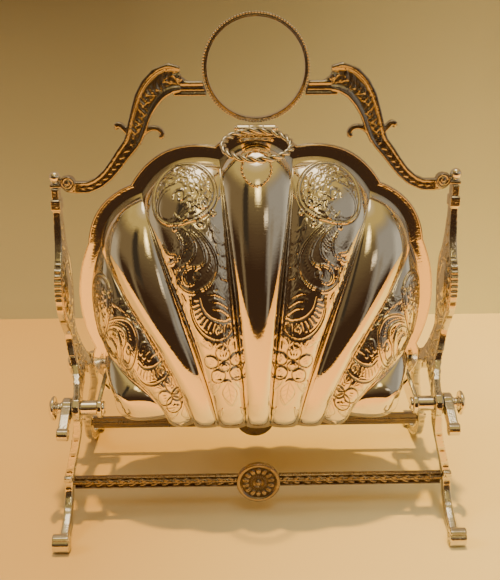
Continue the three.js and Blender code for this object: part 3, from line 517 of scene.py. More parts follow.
def group_tree(
    name: str, kind: str, takes: Sequence[tuple[str, str, object]], gives: Sequence[tuple[str, str]]
) -> tuple[NodeBook, bpy.types.Node, bpy.types.Node]:
    """Starts a node group with named inputs and outputs.

    Args:
        name: the group's name.
        kind: "ShaderNodeTree" or "GeometryNodeTree".
        takes: each input's name, socket type and first value, or None.
        gives: each output's name and socket type.

    Returns:
        The book to write in, the group's input node and its output node.
    """
    tree = bpy.data.node_groups.new(name, kind)
    for label, socket, value in takes:
        made = tree.interface.new_socket(name=label, in_out="INPUT", socket_type=socket)
        if value is not None:
            made.default_value = value
    for label, socket in gives:
        tree.interface.new_socket(name=label, in_out="OUTPUT", socket_type=socket)
    return NodeBook(tree), tree.nodes.new("NodeGroupInput"), tree.nodes.new("NodeGroupOutput")


class SharedEffects:
    """The shader groups that every finish uses: tarnish, dirt and painted shade in the hollows, and polishing
    marks.
    """

    @staticmethod
    @cache
    def tarnish() -> bpy.types.NodeTree:
        """Builds, once, the group that colours clean and tarnished silver, darkened in its hollows by dirt
        and painted shade.

        Returns:
            The group.
        """
        colour, number = "NodeSocketColor", "NodeSocketFloat"
        takes = [
            ("Clean", colour, None), ("Tarnish", colour, None), ("Soil", colour, None),
            ("Smooth", number, 0.08), ("Dull", number, 0.2), ("Soiled", number, 0.5),
            ("Patches", number, 30.0), ("Spread", number, 0.4), ("Depth", number, 1.0),
        ]
        gives = [("Color", colour), ("Roughness", number)]
        book, given, out = group_tree("tarnish_and_soil", "ShaderNodeTree", takes, gives)
        place = book.add("ShaderNodeTexCoord").outputs["Object"]
        broad = book.noise(place, given.outputs["Patches"], 3.0, 0.55)
        fine = book.noise(place, book.sum("MULTIPLY", given.outputs["Patches"], 11.0), 2.0, 0.6)
        cloud = book.sum("ADD", book.sum("MULTIPLY", broad, 0.75), book.sum("MULTIPLY", fine, 0.25))
        start = book.sum("SUBTRACT", 0.72, book.sum("MULTIPLY", given.outputs["Spread"], 0.4))
        patch = book.ramp(cloud, 0.0, 1.0)
        patch = book.sum("MULTIPLY", book.ramp(book.sum("SUBTRACT", patch, start), 0.0, 0.22), 0.8)
        # The hollows' value mixes in the dark colour: dirt, and painted shade where light reaches less.
        soil = book.add("ShaderNodeAttribute", attribute_name=SOIL_AND_SHADE).outputs["Fac"]
        soil = book.sum("MULTIPLY", soil, given.outputs["Depth"])
        soil = book.sum("MULTIPLY", soil, book.ramp(fine, 0.25, 0.6, 0.6, 1.0))
        soil = book.ramp(soil, 0.0, 1.0)
        stained = book.blend(patch, given.outputs["Clean"], given.outputs["Tarnish"])
        shade = book.blend(soil, stained, given.outputs["Soil"])
        rough = book.sum("ADD", given.outputs["Smooth"], book.sum("MULTIPLY", patch, given.outputs["Dull"]))
        rough = book.sum("ADD", rough, book.sum("MULTIPLY", soil, given.outputs["Soiled"]))
        book.tree.links.new(shade, out.inputs["Color"])
        book.tree.links.new(rough, out.inputs["Roughness"])
        return book.tree

    @staticmethod
    @cache
    def marks() -> bpy.types.NodeTree:
        """Builds, once, the group that gives the height of hairlines, pits and slow waves.

        Returns:
            The group.
        """
        number = "NodeSocketFloat"
        sizes = ("Lines", 0.3), ("Pits", 0.2), ("Waves", 0.4), ("Grain", 900.0)
        takes = [(name, number, value) for name, value in sizes]
        book, given, out = group_tree("polishing_marks", "ShaderNodeTree", takes, [("Height", number)])
        place = book.add("ShaderNodeTexCoord").outputs["Object"]
        total = book.sum("MULTIPLY", book.noise(place, 55.0, 1.0), given.outputs["Waves"])
        for turn, stretch in ((0.5, (0.05, 1.0, 1.0)), (-0.8, (1.0, 0.06, 1.0))):
            sockets = {"Vector": place, "Rotation": (turn, turn * 0.6, turn), "Scale": stretch}
            drawn = book.add("ShaderNodeMapping", sockets).outputs[0]
            line = book.noise(drawn, given.outputs["Grain"], 1.0)
            total = book.sum("ADD", total, book.sum("MULTIPLY", line, given.outputs["Lines"]))
        pits = book.noise(place, book.sum("MULTIPLY", given.outputs["Grain"], 0.7), 1.0)
        pits = book.sum("MULTIPLY", book.ramp(pits, 0.3, 0.45), given.outputs["Pits"])
        total = book.sum("ADD", total, pits)
        book.tree.links.new(total, out.inputs["Height"])
        return book.tree


@dataclass(frozen=True)
class Finish:
    """A metal finish: its colours, how smooth it is and what marks it carries."""

    name: str
    clean: Colour = (0.90, 0.865, 0.80, 1)
    tarnish: Colour = (0.74, 0.66, 0.53, 1)
    # The dark colour of the hollows: dirt and painted shade in one.
    soil: Colour = (0.10, 0.065, 0.035, 1)
    smooth: float = 0.055
    dull: float = 0.10
    soiled: float = 0.30
    patches: float = 26.0
    spread: float = 0.35
    depth: float = 1.0
    lines: float = 0.10
    pits: float = 0.05
    waves: float = 0.30
    grain: float = 900.0
    bump: float = 0.10

    @cache
    def material(self) -> bpy.types.Material:
        """Builds the finish's material, once.

        Returns:
            The material.
        """
        material = bpy.data.materials.new(self.name)
        book = emptied(material)
        out = book.add("ShaderNodeOutputMaterial")
        shader = book.add("ShaderNodeBsdfPrincipled", {"Metallic": 1.0, "IOR": 1.45})
        cover = book.add("ShaderNodeGroup", node_tree=SharedEffects.tarnish())
        marks = book.add("ShaderNodeGroup", node_tree=SharedEffects.marks())
        cover_sizes = ("clean", "tarnish", "soil", "smooth", "dull", "soiled", "patches", "spread", "depth")
        for node, names in ((cover, cover_sizes), (marks, ("lines", "pits", "waves", "grain"))):
            for name in names:
                node.inputs[name.title()].default_value = getattr(self, name)
        links = book.tree.links
        links.new(cover.outputs["Color"], shader.inputs["Base Color"])
        links.new(cover.outputs["Roughness"], shader.inputs["Roughness"])
        sockets = {"Strength": self.bump, "Distance": 0.001, "Height": marks.outputs["Height"]}
        bump = book.add("ShaderNodeBump", sockets)
        links.new(bump.outputs[0], shader.inputs["Normal"])
        links.new(shader.outputs[0], out.inputs[0])
        return material


POLISHED = Finish("polished_silver_plate")
ENGRAVED = Finish("engraved_silver_plate", smooth=0.07, waves=0.35, spread=0.4)
CAST = Finish(
    "cast_silver_plate", clean=(0.75, 0.72, 0.66, 1), tarnish=(0.55, 0.50, 0.42, 1),
    soil=(0.05, 0.03, 0.018, 1), smooth=0.15, dull=0.14, spread=0.55, lines=0.12, pits=0.18, waves=0.5,
    grain=700.0, bump=0.22,
)
AGED = replace(
    CAST, name="aged_silver_plate", clean=(0.46, 0.44, 0.42, 1), tarnish=(0.31, 0.29, 0.275, 1),
    soil=(0.035, 0.02, 0.011, 1), smooth=0.22,
)
# A darker copy of the cast finish for the stretchers, husks and rosettes: tarnish, and painted shade for the
# shadowed table that they mirror.
DULLED_AND_SHADED = replace(
    CAST, name="dulled_and_shaded_silver_plate", clean=(0.31, 0.26, 0.23, 1), tarnish=(0.17, 0.135, 0.12, 1),
    soil=(0.03, 0.018, 0.011, 1), smooth=0.24,
)
GILT = Finish(
    "gilt_lining", clean=(0.93, 0.80, 0.52, 1), tarnish=(0.78, 0.62, 0.36, 1), smooth=0.16, dull=0.12,
    lines=0.25, pits=0.08, bump=0.18,
)
GRILLE = Finish(
    "pierced_grille_plate", clean=(0.88, 0.81, 0.66, 1), smooth=0.13, dull=0.12, lines=0.3, pits=0.1,
    bump=0.2,
)
FITTING = Finish(
    "turned_fittings", clean=(0.88, 0.84, 0.77, 1), smooth=0.09, dull=0.12, lines=0.2, bump=0.12,
)


# Geometry Nodes tools


class PathTools:
    """Geometry Nodes trees that set beads or husks along a path, sweep a wire, or fill a pierced plate."""

    @staticmethod
    def path_object(name: str, lines: Sequence[np.ndarray], closed: bool) -> bpy.types.Object:
        """Makes a mesh of edges that a tree can turn into curves.

        Args:
            name: the object's name.
            lines: the paths' places in millimetres.
            closed: whether each path ends where it starts.

        Returns:
            The object.
        """
        points, edges = [], []
        for line in lines:
            start, count = len(points), len(line)
            points += [tuple(place * MM) for place in line]
            edges += [(start + i, start + i + 1) for i in range(count - 1)]
            if closed:
                edges.append((start + count - 1, start))
        mesh = bpy.data.meshes.new(name)
        mesh.from_pydata(points, edges, [])
        return linked(name, mesh)

    @staticmethod
    def applied(
        path: bpy.types.Object, tree: bpy.types.NodeTree, values: dict[str, object]
    ) -> bpy.types.Mesh:
        """Runs a tree on a path and keeps the result as a plain mesh.

        Args:
            path: the object of edges, which is removed.
            tree: the tree.
            values: the tree's inputs by name.

        Returns:
            The mesh.
        """
        modifier = path.modifiers.new("tree", "NODES")
        modifier.node_group = tree
        for item in tree.interface.items_tree:
            if item.item_type == "SOCKET" and item.in_out == "INPUT" and item.name in values:
                modifier[item.identifier] = values[item.name]
        path.update_tag()
        bpy.context.view_layer.update()
        evaluated = path.evaluated_get(bpy.context.evaluated_depsgraph_get())
        mesh = bpy.data.meshes.new_from_object(evaluated)
        path.modifiers.remove(modifier)
        bpy.data.objects.remove(path)
        return mesh

    @classmethod
    @cache
    def beading(cls) -> bpy.types.NodeTree:
        """Builds, once, the tree that strings small beads along a path.

        Returns:
            The tree.
        """
        sizes = ("Bead radius", "Float", 0.0008), ("Pitch", "Float", 0.0017)
        book, given, out, curve = cls._opened("beading", *sizes)
        sockets = {"Curve": curve, "Length": given.outputs["Pitch"]}
        spaced = book.add("GeometryNodeCurveToPoints", sockets, mode="LENGTH")
        sockets = {"Radius": given.outputs["Bead radius"], "Subdivisions": 2}
        bead = book.add("GeometryNodeMeshIcoSphere", sockets)
        sockets = {"Points": spaced.outputs["Points"], "Instance": bead.outputs[0]}
        return cls._closed(book, given, out, book.add("GeometryNodeInstanceOnPoints", sockets).outputs[0])

    @classmethod
    @cache
    def husks(cls) -> bpy.types.NodeTree:
        """Builds, once, the tree that lays copies of a cast husk along a path.

        Returns:
            The tree.
        """
        book, given, out, curve = cls._opened("husk_chain", ("Husk", "Object", None), ("Count", "Int", 12))
        sockets = {"Curve": curve, "Count": given.outputs["Count"]}
        spaced = book.add("GeometryNodeCurveToPoints", sockets, mode="COUNT")
        husk = book.add("GeometryNodeObjectInfo", {"Object": given.outputs["Husk"]})
        sockets = {"Vector": spaced.outputs["Tangent"]}
        turn = book.add("FunctionNodeAlignRotationToVector", sockets, axis="X")
        sockets = {
            "Points": spaced.outputs["Points"], "Instance": husk.outputs["Geometry"],
            "Rotation": turn.outputs[0],
        }
        return cls._closed(book, given, out, book.add("GeometryNodeInstanceOnPoints", sockets).outputs[0])

    @classmethod
    @cache
    def wire(cls) -> bpy.types.NodeTree:
        """Builds, once, the tree that sweeps a round wire along a path.

        Returns:
            The tree.
        """
        sizes = ("Wire radius", "Float", 0.0008), ("Sides", "Int", 10)
        book, given, out, curve = cls._opened("swept_wire", *sizes)
        sockets = {"Resolution": given.outputs["Sides"], "Radius": given.outputs["Wire radius"]}
        circle = book.add("GeometryNodeCurvePrimitiveCircle", sockets)
        sockets = {"Curve": curve, "Profile Curve": circle.outputs[0], "Fill Caps": True}
        return cls._closed(book, given, out, book.add("GeometryNodeCurveToMesh", sockets).outputs[0])

    @classmethod
    @cache
    def pierced(cls) -> bpy.types.NodeTree:
        """Builds, once, the tree that fills an outline with holes and gives it a thickness.

        Returns:
            The tree.
        """
        book, given, out, curve = cls._opened("pierced_plate", ("Thickness", "Float", 0.001))
        face = book.add("GeometryNodeFillCurve", {0: curve}).outputs[0]
        sockets = {"Mesh": face, "Offset Scale": given.outputs["Thickness"], "Individual": False}
        raised = book.add("GeometryNodeExtrudeMesh", sockets).outputs[0]
        under = book.add("GeometryNodeFlipFaces", {0: face}).outputs[0]
        both = book.add("GeometryNodeJoinGeometry")
        book.tree.links.new(raised, both.inputs[0])
        book.tree.links.new(under, both.inputs[0])
        whole = book.add("GeometryNodeMergeByDistance", {"Geometry": both.outputs[0], "Distance": 1e-6})
        return cls._closed(book, given, out, whole.outputs[0])

    @staticmethod
    def _opened(
        name: str, *sizes: tuple[str, str, object]
    ) -> tuple[NodeBook, bpy.types.Node, bpy.types.Node, bpy.types.NodeSocket]:
        """Starts a tree that takes a path and a finish beside its own sizes.

        Args:
            name: the tree's name.
            sizes: its other inputs: name, kind of socket and first value.

        Returns:
            The tree's book, its input and output nodes, and the path as a curve.
        """
        takes = [("Path", "NodeSocketGeometry", None)]
        takes += [(label, f"NodeSocket{kind}", value) for label, kind, value in sizes]
        takes.append(("Finish", "NodeSocketMaterial", None))
        book, given, out = group_tree(name, "GeometryNodeTree", takes, [("Shape", "NodeSocketGeometry")])
        return book, given, out, book.add("GeometryNodeMeshToCurve", {0: given.outputs["Path"]}).outputs[0]

    @staticmethod
    def _closed(
        book: NodeBook, given: bpy.types.Node, out: bpy.types.Node, shape: bpy.types.NodeSocket
    ) -> bpy.types.NodeTree:
        """Ends a tree with real meshes and their finish.

        Args:
            book: the tree's book.
            given: its input node.
            out: its output node.
            shape: the geometry so far.

        Returns:
            The tree.
        """
        real = book.add("GeometryNodeRealizeInstances", {0: shape}).outputs[0]
        sockets = {"Geometry": real, "Material": given.outputs["Finish"]}
        dressed = book.add("GeometryNodeSetMaterial", sockets).outputs[0]
        book.tree.links.new(dressed, out.inputs[0])
        return book.tree


# Engraving


class Graver:
    """A flat working drawing of one engraved flute, in millimetres: raised work, cuts, and the dirt and
    painted shade in them.

    Places are (a, b): a runs across the flute from its middle line, and b down it from its top.
    """

    STEP = 0.16
    LEFT, RIGHT, TOP, BOTTOM = -32.0, 32.0, -6.0, 206.0

    def __init__(self) -> None:
        """Lays out an empty drawing."""
        self.columns = int((self.RIGHT - self.LEFT) / self.STEP)
        self.rows = int((self.BOTTOM - self.TOP) / self.STEP)
        self.raised = np.zeros((self.rows, self.columns), np.float32)
        self.sunk = np.zeros((self.rows, self.columns), np.float32)

    def _stroke(self, line: np.ndarray, widths: np.ndarray) -> tuple[tuple[slice, slice], np.ndarray]:
        """Measures how far each place is from a stroke, as a share of the stroke's half-width.

        Args:
            line: the stroke's places, closely spaced.
            widths: its half-width at each place.

        Returns:
            The window of the drawing that it covers, and the shares there, 1 or more outside it.
        """
        reach = float(widths.max())
        low = np.maximum(((line.min(0) - reach) - (self.LEFT, self.TOP)) / self.STEP, 0).astype(int)
        high = np.minimum(
            ((line.max(0) + reach) - (self.LEFT, self.TOP)) / self.STEP + 2, (self.columns, self.rows)
        ).astype(int)
        window = (slice(low[1], max(low[1], high[1])), slice(low[0], max(low[0], high[0])))
        across = self.LEFT + self.STEP * (np.arange(window[1].start, window[1].stop) + 0.5)
        down = self.TOP + self.STEP * (np.arange(window[0].start, window[0].stop) + 0.5)
        share = np.full((len(down), len(across)), 9.0, np.float32)
        for (a, b), width in zip(line, widths):
            gap = np.sqrt((across[None, :] - a) ** 2 + (down[:, None] - b) ** 2) / width
            np.minimum(share, gap, out=share)
        return window, share

    @staticmethod
    def spaced(points: Stations, gap: float = 0.3) -> np.ndarray:
        """Runs a smooth line through places and spaces it evenly.

        Args:
            points: the places.
            gap: millimetres between two samples.

        Returns:
            The samples.
        """
        line = smooth_line(points, 8)
        way = travelled(line)
        count = max(2, int(way[-1] / gap) + 1)
        at = np.linspace(0, way[-1], count)
        return np.stack([np.interp(at, way, line[:, k]) for k in range(2)], axis=1)

    def groove(self, points: Stations, width: float = 0.55, depth: float = 0.3) -> None:
        """Cuts a line.

        Args:
            points: places that it runs through.
            width: its width.
            depth: its depth.
        """
        line = self.spaced(points)
        share = np.linspace(0, 1, len(line))
        widths = width / 2 * (0.45 + 0.55 * np.sin(np.pi * np.clip(share, 0.04, 0.96)) ** 0.5)
        window, gap = self._stroke(line, widths * 1.25)
        cut = -depth * np.clip(1 - gap, 0, 1) ** 0.8
        self.sunk[window] = np.minimum(self.sunk[window], cut)

    def swell(
        self, points: Stations, width: float, height: float, taper: tuple[float, float] = (0.3, 0.1)
    ) -> None:
        """Raises a rounded, tapering band.

        Args:
            points: places that it runs through.
            width: its greatest width.
            height: how far it is raised.
            taper: its width at its two ends, as shares of the greatest.
        """
        line = self.spaced(points, 0.4)
        share = np.linspace(0, 1, len(line))
        full = np.sin(np.pi * share) ** 0.7
        ends = taper[0] * (1 - share) + taper[1] * share
        widths = width / 2 * np.clip(ends + (1 - ends) * full, 0.08, 1)
        window, gap = self._stroke(line, widths)
        lift = height * np.sqrt(np.clip(1 - gap**2, 0, 1))
        self.raised[window] = np.maximum(self.raised[window], lift)

    def dome(self, centre: Sequence[float], radius: float, height: float) -> None:
        """Raises a small round bead.

        Args:
            centre: its middle.
            radius: its radius.
            height: its height.
        """
        window, gap = self._stroke(np.array([centre], float), np.array([radius]))
        lift = height * np.sqrt(np.clip(1 - gap**2, 0, 1))
        self.raised[window] = np.maximum(self.raised[window], lift)

    def leaf(
        self, root: Sequence[float], tip: Sequence[float], bend: float, width: float, height: float = 0.42
    ) -> None:
        """Chases a pointed leaf with a midrib, veins and an outline.

        Args:
            root: where it starts.
            tip: where it ends.
            bend: how far its middle stands aside, as a share of its length.
            width: its width.
            height: how far it is raised.
        """
        start, end = np.asarray(root, float), np.asarray(tip, float)
        along = end - start
        length = float(np.linalg.norm(along))
        side = np.array([-along[1], along[0]])
        middle = (start + end) / 2 + side * bend
        self.swell([start, middle, end], width, height, (0.35, 0.05))
        rib = self.spaced([start, middle, end], 0.4)
        self.groove([start, middle, (middle + end * 2) / 3], 0.4, 0.26)
        normal = side / max(length, 1e-6)
        for share in (0.3, 0.52, 0.72) if length > 6 else (0.45,):
            at = rib[int(share * (len(rib) - 1))]
            spread = width * 0.42 * math.sin(math.pi * share)
            for turn in (-1, 1):
                far = at + normal * turn * spread + along / length * spread * 0.9
                self.groove([at, (at + far) / 2 + along * 0.02, far], 0.3, 0.2)
        for turn in (-1, 1):
            rim = middle + normal * turn * width * 0.52
            self.groove([start, rim, end], 0.42, 0.3)

    def scroll(
        self, centre: Sequence[float], radius: float, start: float, turns: float, close: float, width: float
    ) -> None:
        """Chases a raised scroll between two cut lines.

        Args:
            centre: the middle of its eye.
            radius: its radius where it starts.
            start: the angle where it starts, in turns.
            turns: how far it winds; below 0 it winds the other way.
            close: its radius at the eye, as a share of the first.
            width: the band's width.
        """
        share = np.linspace(0, 1, 26)
        angle = 2 * math.pi * (start + turns * share)
        out = radius * (1 - (1 - close) * share)
        line = np.stack([centre[0] + out * np.cos(angle), centre[1] + out * np.sin(angle)], axis=1)
        self.swell(line, width, 0.4, (0.5, 0.5))
        for side in (-1, 1):
            offset = (out + side * width * 0.5)[:, None]
            rim = np.asarray(centre) + offset * np.stack([np.cos(angle), np.sin(angle)], axis=1)
            self.groove(rim, 0.45, 0.3)
        self.dome(line[-1], width * 0.75, 0.5)

    @staticmethod
    def oval(
        centre: Sequence[float], radii: Sequence[float], tilt: float, start: float = 0, end: float = 1
    ) -> np.ndarray:
        """Finds places on an oval.

        Args:
            centre: its middle.
            radii: its two radii.
            tilt: how far it is turned, in turns.
            start: where the line starts, in turns.
            end: where it ends.

        Returns:
            Places along the line.
        """
        angle = 2 * math.pi * np.linspace(start, end, 41)
        lean = 2 * math.pi * tilt
        a, b = radii[0] * np.cos(angle), radii[1] * np.sin(angle)
        turned_a = a * math.cos(lean) - b * math.sin(lean)
        turned_b = a * math.sin(lean) + b * math.cos(lean)
        return np.stack([centre[0] + turned_a, centre[1] + turned_b], axis=1)

    def mat(self, top: float, bottom: float, seed: int) -> None:
        """Roughens the ground between raised work with punch marks.

        Args:
            top: where the marks start, down the flute.
            bottom: where they end.
            seed: the seed of their places.
        """
        rng = np.random.default_rng(seed)
        grain = rng.random((self.rows // 4 + 1, self.columns // 4 + 1)).astype(np.float32)
        marks = np.kron(grain, np.ones((4, 4), np.float32))[:self.rows, :self.columns]
        down = self.TOP + self.STEP * (np.arange(self.rows) + 0.5)
        held = eased((down - top) / 5) * eased((bottom - down) / 5)
        ground = (self.raised < 0.02) & (self.sunk > -0.02)
        self.raised += np.where(ground, marks * 0.09 * held[:, None], 0).astype(np.float32)

    def heights(self) -> tuple[np.ndarray, np.ndarray]:
        """Sums the drawing up.

        Returns:
            The surface's heights, and the dirt and painted shade in its cuts.
        """
        height = self.raised + self.sunk
        # Cuts are darkened, deeper ones more: dirt and painted shade in the grooves.
        soil = np.clip(-self.sunk / 0.3, 0, 1)
        for image in (height, soil):
            total = image[1:-1, 1:-1] * 2 + image[:-2, 1:-1] + image[2:, 1:-1]
            image[1:-1, 1:-1] = (total + image[1:-1, :-2] + image[1:-1, 2:]) / 6
        return height, soil

    @classmethod
    def read(cls, image: np.ndarray, a: np.ndarray, b: np.ndarray) -> np.ndarray:
        """Reads a drawing at places between its samples.

        Args:
            image: the heights, or the dirt and painted shade.
            a: the places across.
            b: the places down.

        Returns:
            The values there.
        """
        x = np.clip((a - cls.LEFT) / cls.STEP - 0.5, 0, image.shape[1] - 1.001)
        y = np.clip((b - cls.TOP) / cls.STEP - 0.5, 0, image.shape[0] - 1.001)
        i, j = x.astype(int), y.astype(int)
        u, v = x - i, y - j
        low = image[j, i] * (1 - u) + image[j, i + 1] * u
        high = image[j + 1, i] * (1 - u) + image[j + 1, i + 1] * u
        return low * (1 - v) + high * v


@dataclass
class FluteOrnament:
    """The traditional chased panel of a flute: a leafy round, a drop, a crescent, a flower and leaves.

    Its tables give places in millimetres on a flute of the first size, across and down from its top,
    and they are stretched to the flute that is drawn.
    """

    width: float
    length: float
    seed: int = 7
    lean: float = 0.0
    first_width: float = 23.1
    first_length: float = 174.4
    drop_lines: tuple = (
        (
            (4.2, 46), (9, 53), (12.6, 61), (13.3, 68), (10.5, 76), (4, 81.5), (-4, 82.5), (-10, 78),
            (-13, 71), (-11.5, 65),
        ),
        (
            (2, 48), (5.6, 54), (7.4, 61), (6.6, 67), (2.5, 69.5), (-3, 68), (-7.5, 70), (-7.6, 75),
            (-3.6, 77.5), (1, 75),
        ),
        ((-2.5, 45), (1.5, 51), (2.8, 58), (0.2, 63.5), (-6, 66), (-11.5, 65)),
        ((-5.5, 46.5), (-4.2, 53), (-6.2, 59), (-11.2, 61)),
        ((-17, 47), (-14.5, 54), (-9.5, 58), (-13, 60.5), (-17, 58.5)),
    )
    crescent_outer: tuple = (
        (-7, 85), (-9.2, 93), (-8.4, 101), (-4.4, 109), (1.5, 113.6), (8, 113), (14.5, 108),
    )
    crescent_inner: tuple = ((-1.5, 87), (-1.2, 94), (2.6, 100.5), (9, 103.5), (14.5, 102.5))
    petals: tuple = ((-7.4, -4.6), (0.9, -8.4), (8.6, -3.4), (6.6, 5.4), (-4.9, 5.2))
    flower_at: tuple = (3.0, 130.0)
    leaves: tuple = (
        ((-1.5, 118), (-7.5, 112.5), 0.25, 6.0), ((7.5, 118.5), (14, 113), -0.25, 6.0),
        ((3, 121), (3.5, 113.5), 0.0, 5.0), ((-1.0, 139), (-8.0, 147), 0.25, 7.6),
        ((6.6, 139.5), (13, 149), -0.25, 7.6), ((2.8, 140), (2.6, 156), 0.0, 8.6),
        ((14.5, 44), (19.5, 51), 0.3, 3.6), ((15.5, 51), (20.2, 58), 0.3, 3.6),
        ((15.8, 58), (19.8, 65), 0.3, 3.4), ((15.4, 65), (18.8, 72), 0.3, 3.2),
        ((13.2, 74), (17.6, 79), 0.25, 3.0), ((-15.5, 62), (-19, 70), -0.3, 3.2),
        ((-13.8, 70), (-17.5, 78), -0.3, 3.0), ((-12.5, 80), (-15, 88), -0.25, 3.0),
        ((3.5, 86), (12.5, 90), -0.2, 3.6), ((3.2, 90), (13, 95.5), -0.2, 3.6),
        ((4.2, 94.5), (12.5, 100), -0.2, 3.2), ((-3.5, 158), (-5.5, 165), 0.15, 3.0),
        ((7.5, 159), (9, 166), -0.15, 3.0),
    )

    def drawn(self) -> tuple[np.ndarray, np.ndarray]:
        """Chases the whole panel.

        Returns:
            The heights of the drawing, and the dirt and painted shade in its cuts.
        """
        graver = Graver()
        self._round(graver)
        self._drop(graver)
        self._crescent(graver)
        self._blossom(graver)
        for root, tip, bend, width in self.leaves:
            height = 0.34 if root[1] < self.flower_at[1] else 0.5
            graver.leaf(self._at(root), self._at(tip), bend, width * self._scale()[0], height)
        graver.mat(*(self._at((0, down))[1] for down in (45.0, 116.0)), self.seed)
        return graver.heights()

    def _scale(self) -> np.ndarray:
        """How much the first drawing is stretched across and along."""
        return np.array([self.width / self.first_width, self.length / self.first_length])

    def _at(self, place: Sequence[float]) -> np.ndarray:
        """A place of the tables on this flute."""
        return np.asarray(place, float) * self._scale() + (self.lean * place[1] / self.first_length, 0)

    def _line(self, places: Stations) -> list[np.ndarray]:
        """A line of the tables on this flute."""
        return [self._at(place) for place in places]

    def _round(self, graver: Graver) -> None:
        """Chases the round at the top, full of foliage, with two rims and a plain scroll at its lower left.

        Args:
            graver: the drawing.
        """
        rng = np.random.default_rng(self.seed)
        centre, radii = self._at((2.2, 24.0)), np.array([20.0, 19.4]) * self._scale()
        graver.swell(graver.oval(centre, radii * 0.985, 0.05), 1.5, 0.4, (1, 1))
        graver.groove(graver.oval(centre, radii * 1.04, 0.05), 0.8, 0.42)
        graver.groove(graver.oval(centre, radii * 0.93, 0.05), 0.7, 0.36)
        plain = centre + radii * (-0.36, 0.26)
        for share, start, end in ((0.62, 0.12, 0.78), (0.5, 0.1, 0.74)):
            graver.groove(graver.oval(plain, radii * share * (0.95, 0.9), 0.02, start, end), 0.7, 0.36)
        graver.scroll(plain + radii * (0.3, -0.1), radii[1] * 0.24, 0.5, 1.1, 0.3, 1.5)
        graver.scroll(centre + radii * (0.55, 0.42), radii[1] * 0.3, 0.55, -0.9, 0.3, 1.5)
        graver.scroll(centre + radii * (0.2, -0.5), radii[1] * 0.3, 0.3, 1.0, 0.3, 1.4)
        for k in range(58):
            angle = 2 * math.pi * (k * 0.381966 + 0.05)
            root = centre + radii * 0.86 * math.sqrt((k + 1.5) / 60) * heading(angle)
            if np.hypot(*((root - plain) / radii)) < 0.5:
                continue
            turn = angle + 1.9 + 0.6 * rng.standard_normal()
            tip = root + radii[1] * (0.2 + 0.1 * rng.random()) * heading(turn)
            if np.hypot(*((tip - centre) / radii)) > 0.9:
                tip = root * 0.7 + centre * 0.3
            graver.leaf(root, tip, 0.22 * (-1) ** k, 2.3, 0.46)
        for _ in range(46):
            angle = 2 * math.pi * rng.random()
            place = centre + radii * 0.86 * math.sqrt(rng.random()) * heading(angle)
            if np.hypot(*((place - plain) / radii)) > 0.5:
                graver.dome(place, 0.7, 0.48)

    def _drop(self, graver: Graver) -> None:
        """Chases the long drop under the round: its cut lines, beaded border, scales and ringed eye.

        Args:
            graver: the drawing.
        """
        for points in self.drop_lines:
            line = self._line(points)
            graver.swell(line, 2.2, 0.42, (0.7, 0.5))
            graver.groove(line, 0.85, 0.62)
        outer, inner = self._line(self.drop_lines[0][:5]), self._line(self.drop_lines[1][:5])
        for place in graver.spaced([(p + q) / 2 for p, q in zip(outer, inner)], 1.7):
            graver.dome(place, 0.62, 0.3)
            graver.groove([place + (-0.8, 0.7), place + (0.8, -0.7)], 0.4, 0.18)
        left, right = self._line(self.drop_lines[3][:3]), self._line(self.drop_lines[2][:3])
        for share in np.linspace(0.06, 0.94, 8):
            step = share * 2
            k = min(int(step), 1)
            near = left[k] * (1 - step + k) + left[k + 1] * (step - k)
            far = right[k] * (1 - step + k) + right[k + 1] * (step - k)
            graver.groove([near, (near + far) / 2 + (0, 1.6), far], 0.5, 0.3)
        eye = self._at((0.2, 73.6))
        graver.groove(graver.oval(eye, np.array([2.4, 2.2]) * self._scale(), 0), 0.6, 0.34)
        graver.dome(eye, 1.0, 0.3)
        for side, down in ((-6.6, 43.2), (9.5, 45.4), (17.5, 39.5)):
            turns = 0.9 if side < 0 else -0.9
            graver.scroll(self._at((side, down)), 2.6 * self._scale()[0], 0.7, turns, 0.3, 1.2)

    def _crescent(self, graver: Graver) -> None:
        """Chases the crescent with rays under the drop.

        Args:
            graver: the drawing.
        """
        outer, inner = self._line(self.crescent_outer), self._line(self.crescent_inner)
        for line in (outer, inner):
            graver.groove(line, 0.85, 0.44)
        graver.swell([place + (0.9, -0.8) for place in outer], 1.2, 0.24, (0.5, 0.5))
        near, far = graver.spaced(inner, 0.5), graver.spaced(outer, 0.5)
        for share in np.linspace(0.06, 0.9, 11):
            first, last = near[int(share * (len(near) - 1))], far[int(share * (len(far) - 1))]
            graver.groove([first * 0.8 + last * 0.2, first * 0.35 + last * 0.65], 0.9, 0.36)
        graver.scroll(self._at((5.2, 107.6)), 2.4 * self._scale()[0], 0.4, 0.9, 0.3, 1.2)

    def _blossom(self, graver: Graver) -> None:
        """Chases the flower with round petals and a ringed eye.

        Args:
            graver: the drawing.
        """
        centre = self._at(self.flower_at)
        scale = self._scale()
        for across, down in self.petals:
            out = np.array([across, down]) * scale
            turn = math.atan2(out[1], out[0]) / (2 * math.pi)
            graver.swell([centre + out * 0.8, centre + out * 1.2], 7.4 * scale[0], 0.16, (0.8, 0.8))
            graver.groove(graver.oval(centre + out, np.array([4.6, 4.2]) * scale[0], turn), 0.8, 0.42)
            aside = np.array([-out[1], out[0]]) / np.linalg.norm(out) * 1.3 * scale[0]
            for share in (-1, 0, 1):
                root = centre + out * 0.8 + aside * share
                graver.groove([root, root + out * 0.28 + aside * share * 0.4], 0.5, 0.24)
        graver.swell([centre - (0.8, 0), centre + (0.8, 0)], 5.6 * scale[0], 0.28, (0.8, 0.8))
        graver.groove(graver.oval(centre, np.array([3.4, 2.9]) * scale[0], 0), 0.8, 0.5)
        graver.groove(graver.oval(centre, np.array([2.0, 1.6]) * scale[0], 0), 0.5, 0.34)


# Shell halves


